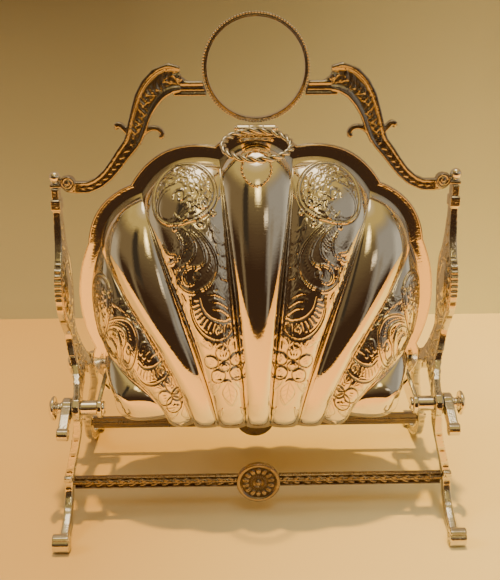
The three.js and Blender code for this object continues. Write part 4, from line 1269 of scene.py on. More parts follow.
@dataclass
class ShellHalves:
    """The two fluted halves of the box, each a flange with nine flutes, four of them chased."""

    half_width: float = 110.0
    floor: float = 71.0
    height: float = 169.0
    depth: float = 47.0
    wall: float = 1.2
    belly_drop: float = 19.0
    flange_front: float = -1.5
    flange_back: float = -0.3
    flange_width: float = 8.0
    flange_cove: float = 0.21
    foot_width: float = 6.0
    valley: float = 0.8
    low_relief: float = 0.55
    centre_share: float = 0.47
    notches: tuple = ((0.218, 0.935), (0.677, 0.802), (0.927, 0.592), (0.932, 0.178), (0.908, 0.062))
    feet: tuple = (0.066, 0.218, 0.36, 0.52, 0.87)
    swells: tuple = (0.1, 0.087, 0.062, 0.069, 0.03)
    depths: tuple = (1.0, 0.98, 0.92, 0.8, 0.66)
    bowl: tuple = (
        (0, 0, 0), (0, 0.16, 0.45), (0, 0.38, 0.85), (0.01, 0.62, 1), (0.03, 0.82, 0.95), (0.06, 0.94, 0.75),
        (0.13, 1, 0.4), (0.28, 1, 0.1), (0.45, 0.94, 0), (0.62, 0.82, 0), (0.78, 0.65, 0), (0.9, 0.45, 0),
        (0.97, 0.22, 0), (1, 0, 0),
    )
    chased: tuple = (1, 3)
    chased_steps: tuple = (160, 480)
    plain_steps: tuple = (32, 480)
    rim_radius: float = 0.65

    def __post_init__(self) -> None:
        """Works out the lines between the flutes and the bowl's section."""
        up = np.array([[x * self.half_width, self.floor + z * self.height] for x, z in self.notches])
        low = np.array([[x * self.half_width, self.floor] for x in self.feet])
        mirror = np.array([-1, 1])
        self.tops = np.vstack([up[::-1] * mirror, up])
        self.lows = np.vstack([low[::-1] * mirror, low])
        self.swell_of = np.array([*self.swells[:0:-1], *self.swells])
        self.depth_of = np.array([*self.depths[:0:-1], *self.depths])
        self.flutes = len(self.swell_of)
        self.section = smooth_line(self.bowl, 40)
        way = travelled(self.section * (150.0, self.depth, self.belly_drop))
        self.way = way / way[-1]

    def outline(self, station: np.ndarray) -> tuple[np.ndarray, np.ndarray, np.ndarray, np.ndarray]:
        """Finds the flange's foot and top edge at stations across the shell.

        Args:
            station: places across; flute k runs from k to k + 1.

        Returns:
            The foot, the top, how full the bowl is there, and how full the flute's crown is.
        """
        held = np.clip(station, 0, self.flutes)
        flute = np.minimum(held.astype(int), self.flutes - 1)
        v = -np.cos(np.pi * (held - flute))
        share = ((v + 1) / 2)[:, None]
        foot = self.lows[flute] * (1 - share) + self.lows[flute + 1] * share
        top = self.tops[flute] * (1 - share) + self.tops[flute + 1] * share
        chord = unit(self.tops[flute + 1] - self.tops[flute])
        out = np.stack([-chord[:, 1], chord[:, 0]], axis=1)
        top = top + out * (self.swell_of[flute] * self.half_width * (1 - v * v))[:, None]
        crown = self.depth_of[flute]
        near = self.depth_of[np.maximum(flute - 1, 0)]
        far = self.depth_of[np.minimum(flute + 1, self.flutes - 1)]
        edge = np.where(v < 0, (crown + near) / 2, (crown + far) / 2)
        full_round = np.sqrt(np.clip(1 - v * v, 0, 1))
        full = self.valley * edge + (crown - self.valley * edge) * full_round
        closing = ((flute == 0) & (v < 0)) | ((flute == self.flutes - 1) & (v > 0))
        full = np.where(closing, crown * np.sqrt(full_round), full)
        return foot, top, full, np.where(closing, full, crown)

    def within(
        self, foot: np.ndarray, top: np.ndarray, inset: float = 0.0
    ) -> tuple[np.ndarray, np.ndarray]:
        """Finds the inner edge of the flange, or places further in.

        Args:
            foot: places on the flange's foot.
            top: places on its top edge.
            inset: how far inside the inner edge the places are wanted.

        Returns:
            The places over the foot and those below the top.
        """
        narrow = 1 - self.foot_width / self.half_width
        low = np.stack([foot[:, 0] * narrow, foot[:, 1] + self.foot_width + inset], axis=1)
        middle = self.floor + self.centre_share * self.height
        centre = np.stack([np.zeros(len(top)), np.minimum(middle, top[:, 1])], axis=1)
        return low, top + unit(centre - top) * (self.flange_width + inset)

    def places(self, station: np.ndarray, row: np.ndarray) -> np.ndarray:
        """Finds places on the outside of the front half.

        Args:
            station: places across the shell.
            row: places up it: -1 to 0 is the foot of the flange, 0 to 1 the bowl, 1 to 2 the flange's top.

        Returns:
            The places, one row of the array for each station.
        """
        foot, top, full, crown = self.outline(station)
        inner_foot, inner_top = self.within(foot, top)
        along = np.clip(row, 0, 1)
        share = np.stack([np.interp(along, self.way, self.section[:, k]) for k in range(3)])
        rise = share[0][None, :, None]
        flat = inner_foot[:, None, :] * (1 - rise) + inner_top[:, None, :] * rise
        low = np.clip(-row, 0, 1)[None, :, None]
        high = np.clip(row - 1, 0, 1)[None, :, None]
        flat = flat + (foot - inner_foot)[:, None, :] * low + (top - inner_top)[:, None, :] * high
        shallow = np.interp(along, (0.22, 0.5), (self.low_relief, 1.0))[None, :]
        level = crown[:, None] - (crown - full)[:, None] * shallow
        deep = share[1][None, :] * self.depth * level
        drop = share[2][None, :] * self.belly_drop * np.minimum(1, full / self.valley)[:, None]
        cove = np.where(row > 1, self.flange_cove * np.sin(np.pi * np.clip(2 - row, 0, 1)) ** 2, 0)
        y = self.flange_front - deep + cove[None, :]
        return np.stack([flat[..., 0], y, flat[..., 1] - drop], axis=2)

    def normals(self, station: np.ndarray, row: np.ndarray) -> np.ndarray:
        """Finds which way the outside faces at places of the front half.

        Args:
            station: places across the shell.
            row: places up it.

        Returns:
            Unit vectors.
        """
        step = 1e-3
        across = self.places(station + step, row) - self.places(station - step, row)
        bowl = (row > 0) & (row < 1)
        up_row = np.where(bowl, np.minimum(row + step, 1), row + step)
        low_row = np.where(bowl, np.maximum(row - step, 0), row - step)
        up = self.places(station, up_row) - self.places(station, low_row)
        face = np.cross(across, up)
        size = np.linalg.norm(face, axis=2, keepdims=True)
        return np.where(size > 1e-9, face / np.maximum(size, 1e-9), (0.0, -1.0, 0.0))

    def rows(self, count: int) -> np.ndarray:
        """Spaces rows up the bowl, closer where it bends.

        Args:
            count: how many steps there are in the bowl.

        Returns:
            The rows, with the flange's foot and top added.
        """
        bend = np.interp(self.way, [0, 0.12, 0.3, 0.42, 0.9, 1.0], [1.5, 2.4, 2.2, 1.0, 1.0, 2.4])
        total = np.concatenate([[0], np.cumsum((bend[1:] + bend[:-1]) / 2 * np.diff(self.way))])
        bowl = np.interp(np.linspace(0, total[-1], count + 1), total, self.way)
        return np.concatenate([[-1, -0.4], bowl, 1 + np.array([0.08, 0.2, 0.36, 0.55, 0.74, 0.9, 1.0])])

    def flute(
        self, index: int, steps: tuple[int, int], links: tuple[int, int],
        drawing: tuple[np.ndarray, np.ndarray, int] | None = None,
    ) -> Sheet:
        """Makes one flute with its stretch of flange, closed and hollow behind.

        Args:
            index: which flute, from the left.
            steps: fine steps across and up the bowl on its outside.
            links: how many fine steps on the outside go with one on the inside, across and up.
            drawing: the chasing's heights, the dirt and painted shade in its cuts, and the sign of its
                direction across, if it has any.

        Returns:
            The mesh.
        """
        fine_station = index + np.linspace(0, 1, steps[0] + 1)
        fine_row = self.rows(steps[1])
        extra = len(fine_row) - steps[1] - 1
        across_links = np.arange(0, steps[0] + 1, links[0])
        bowl_links = 2 + np.arange(0, steps[1] + 1, links[1])
        up_links = np.concatenate([[0, 1], bowl_links, np.arange(steps[1] + 3, steps[1] + 1 + extra)])
        outside = self.places(fine_station, fine_row)
        facing = self.normals(fine_station, fine_row)
        # Painted shade with dirt darkens the crease where the bowl meets the flange's top.
        soil = 0.4 * crest(fine_row - 1.0, 0.012)[None, :] * np.ones((len(fine_station), 1))
        if drawing is not None:
            outside, soil = self._chased(outside, facing, fine_row, soil, drawing)
        coarse_station, coarse_row = fine_station[across_links], fine_row[up_links]
        inside = self.places(coarse_station, coarse_row)
        inside -= self.normals(coarse_station, coarse_row) * self.wall
        on_flange = (coarse_row <= 0) | (coarse_row >= 1)
        rim = coarse_station[:, None] * np.ones(len(coarse_row))
        closing = (rim < 1e-6) | (rim > self.flutes - 1e-6)
        flat_back = self.places(coarse_station, coarse_row)
        flat = closing | on_flange[None, :]
        inside = np.where(flat[..., None], flat_back, inside)
        inside[..., 1] = np.where(flat, self.flange_back, np.minimum(inside[..., 1], self.flange_back))
        return self._joined(outside, inside, across_links, up_links, soil)

    @staticmethod
    def _chased(
        outside: np.ndarray, facing: np.ndarray, row: np.ndarray, soil: np.ndarray,
        drawing: tuple[np.ndarray, np.ndarray, int],
    ) -> tuple[np.ndarray, np.ndarray]:
        """Moves the outside of a flute by its chasing.

        Args:
            outside: the places.
            facing: their directions.
            row: the rows' places up the shell.
            soil: the dirt and painted shade so far.
            drawing: the heights, the dirt and painted shade of the cuts, and the direction across.

        Returns:
            The new places, and the dirt and painted shade.
        """
        heights, cuts, direction = drawing
        middle = outside.shape[0] // 2
        steps = np.linalg.norm(np.diff(outside, axis=0), axis=2)
        across = np.concatenate([np.zeros((1, outside.shape[1])), np.cumsum(steps, axis=0)])
        across -= across[middle]
        down = travelled(outside[middle])
        down = down[int(np.searchsorted(row, 1.0))] - down
        down = np.repeat(down[None, :], outside.shape[0], axis=0)
        room = np.minimum(np.abs(across[0])[None, :] + across, across[-1][None, :] - across)
        held = eased(room / 2.2) * eased(down / 2.5) * (row > 0.1)[None, :] * (row <= 1)[None, :]
        lift = Graver.read(heights, across * direction, down) * held
        cut = Graver.read(cuts, across * direction, down) * held
        return outside + facing * lift[..., None], np.maximum(soil, cut)

    @staticmethod
    def _joined(
        outside: np.ndarray, inside: np.ndarray, across_links: np.ndarray, up_links: np.ndarray,
        soil: np.ndarray,
    ) -> Sheet:
        """Joins an outside and an inside grid into a closed mesh.

        Args:
            outside: the fine grid of places.
            inside: the coarse grid of places.
            across_links: fine stations that coarse ones go with.
            up_links: fine rows that coarse ones go with.
            soil: the outside's dirt and painted shade.

        Returns:
            The mesh.
        """
        columns, rows = outside.shape[:2]
        across, up = inside.shape[:2]
        number = np.arange(columns * rows).reshape(columns, rows)
        hidden = columns * rows + np.arange(across * up).reshape(across, up)
        front = (number[:-1, :-1], number[1:, :-1], number[1:, 1:], number[:-1, 1:])
        back = (hidden[:-1, :-1], hidden[:-1, 1:], hidden[1:, 1:], hidden[1:, :-1])
        front, back = (np.stack(corners, -1).reshape(-1, 4) for corners in (front, back))
        walls: dict[int, list[list[int]]] = {}

        def wall(edge: np.ndarray, far: np.ndarray, links: np.ndarray) -> None:
            """Adds a strip of faces between a fine edge and a coarse one.

            Args:
                edge: the fine edge's points.
                far: the coarse edge's points.
                links: the fine points that the coarse ones go with.
            """
            for k in range(len(links) - 1):
                run = edge[links[k]:links[k + 1] + 1]
                face = [*run[::-1], far[k], far[k + 1]]
                walls.setdefault(len(face), []).append(face)

        wall(number[:, 0], hidden[:, 0], across_links)
        wall(number[::-1, -1], hidden[::-1, -1], columns - 1 - across_links[::-1])
        wall(number[-1], hidden[-1], up_links)
        wall(number[0, ::-1], hidden[0, ::-1], rows - 1 - up_links[::-1])
        rims = [np.array(group) for group in walls.values()]
        points = np.vstack([outside.reshape(-1, 3), inside.reshape(-1, 3)])
        soils_and_shades = np.concatenate([soil.ravel(), np.zeros(across * up)])
        finishes = [np.full(len(group), int(group is back)) for group in (front, back, *rims)]
        return Sheet(points, [front, back, *rims], soils_and_shades, finishes).outward()

    def flute_size(self, index: int) -> tuple[float, float]:
        """Measures a flute for its drawing.

        Args:
            index: which flute.

        Returns:
            Half its width where it is broad, and its length down from the top.
        """
        places = self.places(index + np.linspace(0, 1, 41), np.linspace(0, 1, 121))
        middle, broad, foot_share = 20, 84, 0.16
        length = travelled(places[middle])
        half = np.linalg.norm(np.diff(places[:, broad], axis=0), axis=1).sum() / 2
        foot = np.interp(foot_share, self.way, np.linspace(0, length[-1], len(self.way)))
        return float(half), float(length[-1] - foot)

    def drawings(self) -> dict[int, tuple[np.ndarray, np.ndarray, int]]:
        """Draws the chasing of the chased flutes on the left, whose mirror image the right ones have.

        Returns:
            Heights, the dirt and painted shade of the cuts, and direction across for each.
        """
        found = {}
        for index in self.chased:
            width, length = self.flute_size(index)
            lean = 7.0 if index == self.chased[0] else 0.0
            heights, cuts = FluteOrnament(width, length, 7 + index, lean).drawn()
            found[index] = (heights, cuts, 1)
            found[self.flutes - 1 - index] = (heights, cuts, -1)
        return found

    def build(self) -> None:
        """Builds both halves with their rims."""
        drawings = self.drawings()
        for half in Half:
            plain = []
            for index in range(self.flutes):
                if index in drawings:
                    sheet = self.flute(index, self.chased_steps, (8, 8), drawings[index])
                    name = f"{half.label}_chased_flute_{index}"
                    piece = mesh_piece(name, self.turned_to(sheet, half), (ENGRAVED, GILT), 30)
                    settle(piece, half.body, Slot.POLISHED)
                else:
                    plain.append(self.flute(index, self.plain_steps, (2, 8)))
            sheet = self.turned_to(merged(plain), half)
            shell = mesh_piece(f"{half.label}_shell_flutes", sheet, (POLISHED, GILT), 30)
            settle(shell, half.body, Slot.POLISHED, f"{half.label}_shell")
            self.rim(half)

    @staticmethod
    def turned_to(sheet: Sheet, half: Half) -> Sheet:
        """Turns a shape drawn for the front half to its own half.

        Args:
            sheet: the shape.
            half: its half.

        Returns:
            The shape in place.
        """
        return sheet.placed(lambda points: points * (half.turn, half.turn, 1))

    def rim(self, half: Half) -> None:
        """Runs a round wire along the scalloped edge of a half.

        Args:
            half: which half.
        """
        station = np.linspace(0, self.flutes, self.flutes * 16 + 1)
        foot, top, _, _ = self.outline(station)
        inward = unit(top - np.array([0, self.floor + self.centre_share * self.height]))
        line = np.vstack([foot[:1], top - inward * 0.55, foot[-1:]])
        turn = half.turn
        path = np.stack([line[:, 0] * turn, np.full(len(line), -1.0 * turn), line[:, 1]], axis=1)
        maker = PathTools.path_object(f"{half.label}_rim_path", [path], False)
        values = {"Wire radius": self.rim_radius * MM, "Sides": 10, "Finish": POLISHED.material()}
        mesh = PathTools.applied(maker, PathTools.wire(), values)
        piece = shown_piece(f"{half.label}_shell_rim", mesh, (POLISHED,))
        settle(piece, half.body, Slot.POLISHED)


# Cast and turned pieces of the stand


@dataclass
class Course:
    """A line that a casting follows in its own flat drawing, with a half-width at each station."""

    stations: Stations

    def __post_init__(self) -> None:
        """Samples the line and its directions."""
        line = smooth_line(self.stations, 12)
        self.line, self.half = line[:, :2], line[:, 2]
        self.way = travelled(self.line)
        self.along = unit(np.gradient(self.line, axis=0))

    def locate(self, places: np.ndarray) -> tuple[np.ndarray, np.ndarray]:
        """Finds where places lie on the line, a lot at a time to spare the memory.

        Args:
            places: places in the flat drawing.

        Returns:
            The way along the line, and the share of the half-width across it.
        """
        nearest = np.zeros(len(places), int)
        lot = 20000
        for start in range(0, len(places), lot):
            part = places[start:start + lot]
            gap = ((part[:, None, :] - self.line[None, :, :]) ** 2).sum(axis=2)
            nearest[start:start + lot] = gap.argmin(axis=1)
        apart = places - self.line[nearest]
        along = self.along[nearest]
        side = along[:, 0] * apart[:, 1] - along[:, 1] * apart[:, 0]
        ahead = (along * apart).sum(axis=1)
        return self.way[nearest] + ahead, side / self.half[nearest]


def ball(centre: Sequence[float], radius: float, steps: int = 24) -> Sheet:
    """Makes a ball.

    Args:
        centre: its middle.
        radius: its radius.
        steps: its sides.

    Returns:
        The mesh.
    """
    angle = np.linspace(-math.pi / 2, math.pi / 2, steps // 2 + 1)
    profile = [(max(0.0, radius * math.cos(a)), radius * math.sin(a)) for a in angle]
    profile[0], profile[-1] = (0.0, -radius), (0.0, radius)
    return turned(profile, steps, "z", centre)


@dataclass
class Casting:
    """A casting: solids of the frame made one fine skin, rounded, and then chased with relief."""

    name: str
    nodes: tuple[str, ...]
    voxel: float = 0.5
    rounds: int = 3
    extras: tuple[Sheet, ...] = ()
    fit: Callable[[np.ndarray], np.ndarray] | None = None

    def skin(self) -> tuple[np.ndarray, np.ndarray, np.ndarray]:
        """Joins the solids into one even skin.

        Returns:
            Its places, its faces and its directions.
        """
        block = bmesh.new()
        for node in self.nodes:
            block.from_mesh(frame["nodes"][node].data)
        bmesh.ops.remove_doubles(block, verts=block.verts, dist=1e-6)
        for extra in self.extras:
            corners = [block.verts.new(Vector(place) * MM) for place in extra.points]
            for group in extra.faces:
                for face in group:
                    block.faces.new([corners[k] for k in face])
        mesh = bpy.data.meshes.new(self.name)
        block.to_mesh(mesh)
        block.free()
        rough = linked(self.name, mesh)
        remesh = rough.modifiers.new("skin", "REMESH")
        remesh.mode = "VOXEL"
        remesh.voxel_size = self.voxel * MM
        soften = rough.modifiers.new("soften", "SMOOTH")
        soften.iterations = self.rounds
        bpy.context.view_layer.update()
        fine = rough.evaluated_get(bpy.context.evaluated_depsgraph_get()).to_mesh()
        places = read_all(fine.vertices, "co", np.float32, 3)
        facing = read_all(fine.vertex_normals, "vector", np.float32, 3)
        corners = read_all(fine.loops, "vertex_index", np.int32, 1)
        bpy.data.objects.remove(rough)
        return places / MM, corners.reshape(-1, 4), facing

    def build(self, carve: Carving | None, body: str, finish: Finish, slot: Slot) -> None:
        """Makes the piece, carves it and sets it on its body.

        Args:
            carve: the rule for its relief: places and directions in, heights and the hollows' dirt and
                painted shade out.
            body: the body that it rides on.
            finish: its finish.
            slot: the record's slot for it.
        """
        places, faces, facing = self.skin()
        if self.fit is not None:
            places = self.fit(places)
        soil = np.zeros(len(places))
        if carve is not None:
            height, soil = carve(places, facing)
            places = places + facing * height[:, None]
        places[:, 2] = np.maximum(places[:, 2], 0)
        piece = mesh_piece(self.name, Sheet(places, [faces], soil), (finish,), 60)
        settle(piece, body, slot, *self.nodes)


def faced(facing: np.ndarray) -> np.ndarray:
    """How squarely a direction faces the drawing's plane, from 0 on its edges to 1 on its faces."""
    return eased((np.abs(facing) - 0.45) / 0.35)


def leafage(way: np.ndarray, across: np.ndarray, pitch: float, lean: float) -> np.ndarray:
    """Relief of overlapping leaf tips along a channel.

    Args:
        way: the way along the channel.
        across: the share across it, from -1 to 1.
        pitch: the length of a leaf.
        lean: how far the tips sweep back at the sides, in leaves.

    Returns:
        Heights from 0 to 1.
    """
    phase = (way / pitch - lean * np.abs(across)) % 1
    body = np.clip(1.15 - phase, 0, 1) ** 0.7 * np.clip(1 - across**2, 0, 1) ** 0.5
    rib = 0.25 * crest(across, 0.12)
    vein = 0.18 * (0.5 + 0.5 * np.cos(2 * np.pi * (way / pitch * 3 - lean * 2.4 * np.abs(across))))
    return np.clip(body + rib - vein * (np.abs(across) > 0.15), 0, 1.2)


def spiral(apart: np.ndarray, radius: float, pitch: float, hand: float) -> np.ndarray:
    """Relief of a scroll's eye: a spiral groove round a button.

    Args:
        apart: places measured from the middle of the eye.
        radius: the eye's radius.
        pitch: how far apart its turns are.
        hand: 1 or -1, the way it winds.

    Returns:
        Heights, 0 outside the eye.
    """
    out = lengths(apart)
    angle = np.arctan2(apart[:, 1], apart[:, 0]) / (2 * np.pi)
    wave = 0.5 + 0.5 * np.cos(2 * np.pi * (out / pitch - hand * angle))
    inside = eased((radius - out) / 0.8)
    button = crest(out, 0.9)
    return inside * (-0.6 * wave**2 * (1 - button) + 0.45 * button)


@dataclass
class HandleArms:
    """The two cast scroll arms that carry the ring, each with a leafy head and a volute at the post."""

    volute_at: tuple = (111.6, 207.9)
    volute_radius: float = 4.3
    ring_radius: float = 31.0
    neck_height: float = 262.3
    neck_half: float = 4.1
    width: float = 17.6
    path: tuple = (
        (0.05, -0.05), (0.17, -0.04), (0.27, 0.05), (0.35, 0.18), (0.42, 0.32), (0.49, 0.45),
        (0.525, 0.59), (0.56, 0.74), (0.61, 0.9), (0.68, 1.03), (0.76, 1.1), (0.85, 1.1),
    )
    widths: tuple = (0.4, 0.39, 0.41, 0.45, 0.49, 0.54, 0.64, 0.7, 0.84, 0.94, 1, 0.78)
    curls: tuple = (
        ((0.53, 0.44, 2.2), (0.58, 0.54, 1.5), (0.64, 0.58, 1.2), (0.69, 0.56, 1.1), (0.705, 0.5, 1.7)),
        ((0.5, 0.5, 2.4), (0.455, 0.56, 1.7), (0.41, 0.61, 1.2), (0.38, 0.6, 1.7)),
    )
    head_share: float = 0.85
    lip_rise: float = 6.2
    lip_radius: float = 1.7
    hollows: tuple = (
        ((0.4, 7.6, 1.5), (-0.4, 5.8, 1.5), (-1.5, 4.5, 1.5), (-3.0, 3.5, 1.4), (-4.8, 2.9, 1.3)),
        ((7.0, -0.1, 1.3), (5.0, -1.0, 1.3), (3.0, -1.9, 1.3), (1.0, -2.5, 1.3), (-1.6, -2.8, 1.3)),
    )
    tail: tuple = (
        (-3.4, -5.0, 1.2), (-1.3, -4.8, 1.2), (0.7, -4.2, 1.2), (2.5, -3.0, 1.15), (3.6, -0.8, 1.1),
        (3.6, 1.4, 1.1), (1.8, 3.3, 1.0), (-0.9, -3.6, 1.4), (-2.6, -3.2, 1.5),
    )

    def at(self, inward: float, upward: float) -> tuple[float, float]:
        """A place in the arm's flat drawing from shares of its reach and rise."""
        reach, rise = self.volute_at[0] - self.ring_radius, self.neck_height - self.volute_at[1]
        return self.volute_at[0] - inward * reach, self.volute_at[1] + upward * rise

    def build(self) -> None:
        """Builds and carves both arms."""
        shares = zip(self.path, self.widths)
        self.course = Course([(*self.at(*share), width * self.width / 2) for share, width in shares])
        for side in Side:
            node = f"{side.label}_handle_arm"
            casting = Casting(f"{node}_cast", (node,), 0.4, 3, tuple(self.knobs(side)))
            casting.build(self.carve, "stand", AGED, Slot.CAST)

    def knobs(self, side: Side) -> list[Sheet]:
        """Makes what an arm has beyond its solid: its curls, the hollows of its head, its tail and its lip.

        Args:
            side: which arm.

        Returns:
            The meshes.
        """
        head_end = self.at(self.head_share, 0)[0]
        made = []
        for curl in self.curls:
            line = smooth_line([(*self.at(*place[:2]), place[2]) for place in curl], 5)
            made += [ball((x * side.sign, 0, z), radius) for x, z, radius in line]
        thick = (-0.9, 0, 0.9)
        neck = (head_end, self.neck_height)
        for origin, run in (*((neck, hollow) for hollow in self.hollows), (self.volute_at, self.tail)):
            line = [(origin[0] + x, origin[1] + z, radius) for x, z, radius in smooth_line(run, 4)]
            made += [ball((x * side.sign, y, z), radius) for x, z, radius in line for y in thick]
        reach, radius = self.lip_radius + 1.1, self.lip_radius
        lip = (side.sign * (head_end + 0.6), 0, self.neck_height + self.lip_rise)
        made.append(turned([(0, -reach), (radius, -reach), (radius, reach), (0, reach)], 24, "y", lip))
        return made

    def carve(self, places: np.ndarray, facing: np.ndarray) -> tuple[np.ndarray, np.ndarray]:
        """Carves an arm: twin rims, leaves in the channel between them, and the volute's spiral.

        Args:
            places: the skin's places.
            facing: its directions.

        Returns:
            Heights, and dirt and painted shade in the hollows.
        """
        flat = np.stack([np.abs(places[:, 0]), places[:, 2]], axis=1)
        way, across = self.course.locate(flat)
        on_head = eased((way / self.course.way[-1] - 0.42) / 0.12)
        size = np.abs(across)
        rims = 0.42 * crest(size - 0.84, 0.13) + 0.16 * crest(size - 0.6, 0.06)
        stem = leafage(way + 0.8 * np.sin(way / 4.3), np.clip(across / 0.72, -1, 1), 4.4, 0.8)
        wander = np.clip((across - 0.22 * np.sin(way / 3.1)) / 0.56, -1, 1)
        head = leafage(way, wander, 6.2, 0.8) * (0.75 + 0.25 * np.cos(way * 1.9 + across * 5))
        channel = -0.95 * eased((0.66 - size) / 0.18)
        leaves = 0.85 * head * (size < 0.56) * on_head + 0.36 * stem * (1 - on_head) * (size < 0.72)
        height = rims * (0.4 + 0.6 * on_head) + channel * (0.25 + 0.75 * on_head)
        height = height + leaves * (0.6 + 0.5 * on_head)
        head_end = self.at(self.head_share, 0)[0]
        neck = flat[:, 0] < head_end
        rise = np.abs(flat[:, 1] - self.neck_height) / self.neck_half
        bars = 0.3 * crest(rise - 0.8, 0.22) - 0.25 * eased((0.6 - rise) / 0.3) + 0.3 * crest(rise, 0.26)
        height = np.where(neck, bars, height * eased(way / 7))
        apart = flat - np.array(self.volute_at)
        far = lengths(apart) > self.volute_radius + 0.6
        beyond = (way < 0) | (size > 1.25)
        eye = spiral(apart, self.volute_radius, 1.9, 1)
        height = np.where(far, np.where(beyond & ~neck, 0, height), eye)
        height = height * faced(facing[:, 1])
        corner = np.hypot(flat[:, 0] - head_end, flat[:, 1] - self.neck_height - self.lip_rise - 1.6)
        height = height - 0.9 * eased((3.0 - corner) / 2.2) * (1 - faced(facing[:, 1]))
        # The channel's sunk parts are darkened: dirt and painted shade.
        return height, np.clip(-height / 0.9, 0, 1) * (0.15 + 0.3 * on_head) * faced(facing[:, 1])


@dataclass
class CarryingRing:
    """The round finger ring between the arms, with a row of fine beads on each face."""

    radius: float = 31.0
    band: float = 3.3
    half: float = 2.8
    height: float = 273.7
    bead: float = 0.76
    pitch: float = 1.7

    def build(self) -> None:
        """Turns the band and strings its beads."""
        inner, outer, half = self.radius - self.band, self.radius, self.half
        front = [
            (inner, -half + 0.9), (inner + 0.25, -half + 0.2), (inner + 0.8, -half + 0.1),
            (inner + 1.1, -half + 0.75), (outer - 0.8, -half + 0.8), (outer - 0.4, -half + 1.2),
            (outer - 0.5, -half + 1.7),
        ]
        profile = [*front, *((radius, -along) for radius, along in front[::-1]), front[0]]
        band = turned(profile, 160, "y", (0, 0, self.height))
        reach = np.hypot(band.points[:, 0], band.points[:, 2] - self.height)
        # Painted shade with dirt darkens the band's outer part, between and under the beads.
        band.soil = eased((reach - outer + 1.9) / 0.5)
        piece = mesh_piece("carrying_ring_band", band, (CAST,), 50)
        settle(piece, "stand", Slot.CAST, "carrying_ring")
        steps = 240
        angle = 2 * math.pi * np.arange(steps) / steps
        rows = []
        for reach, along in ((outer - 0.85, -half + 0.8), (outer - 0.85, half - 0.8), (outer - 0.8, 0.0)):
            x, z = reach * np.sin(angle), self.height + reach * np.cos(angle)
            rows.append(np.stack([x, np.full(steps, along), z], axis=1))
        path = PathTools.path_object("ring_bead_path", rows, True)
        values = {"Bead radius": self.bead * MM, "Pitch": self.pitch * MM, "Finish": CAST.material()}
        mesh = PathTools.applied(path, PathTools.beading(), values)
        settle(shown_piece("carrying_ring_beads", mesh, (CAST,)), "stand", Slot.CAST)


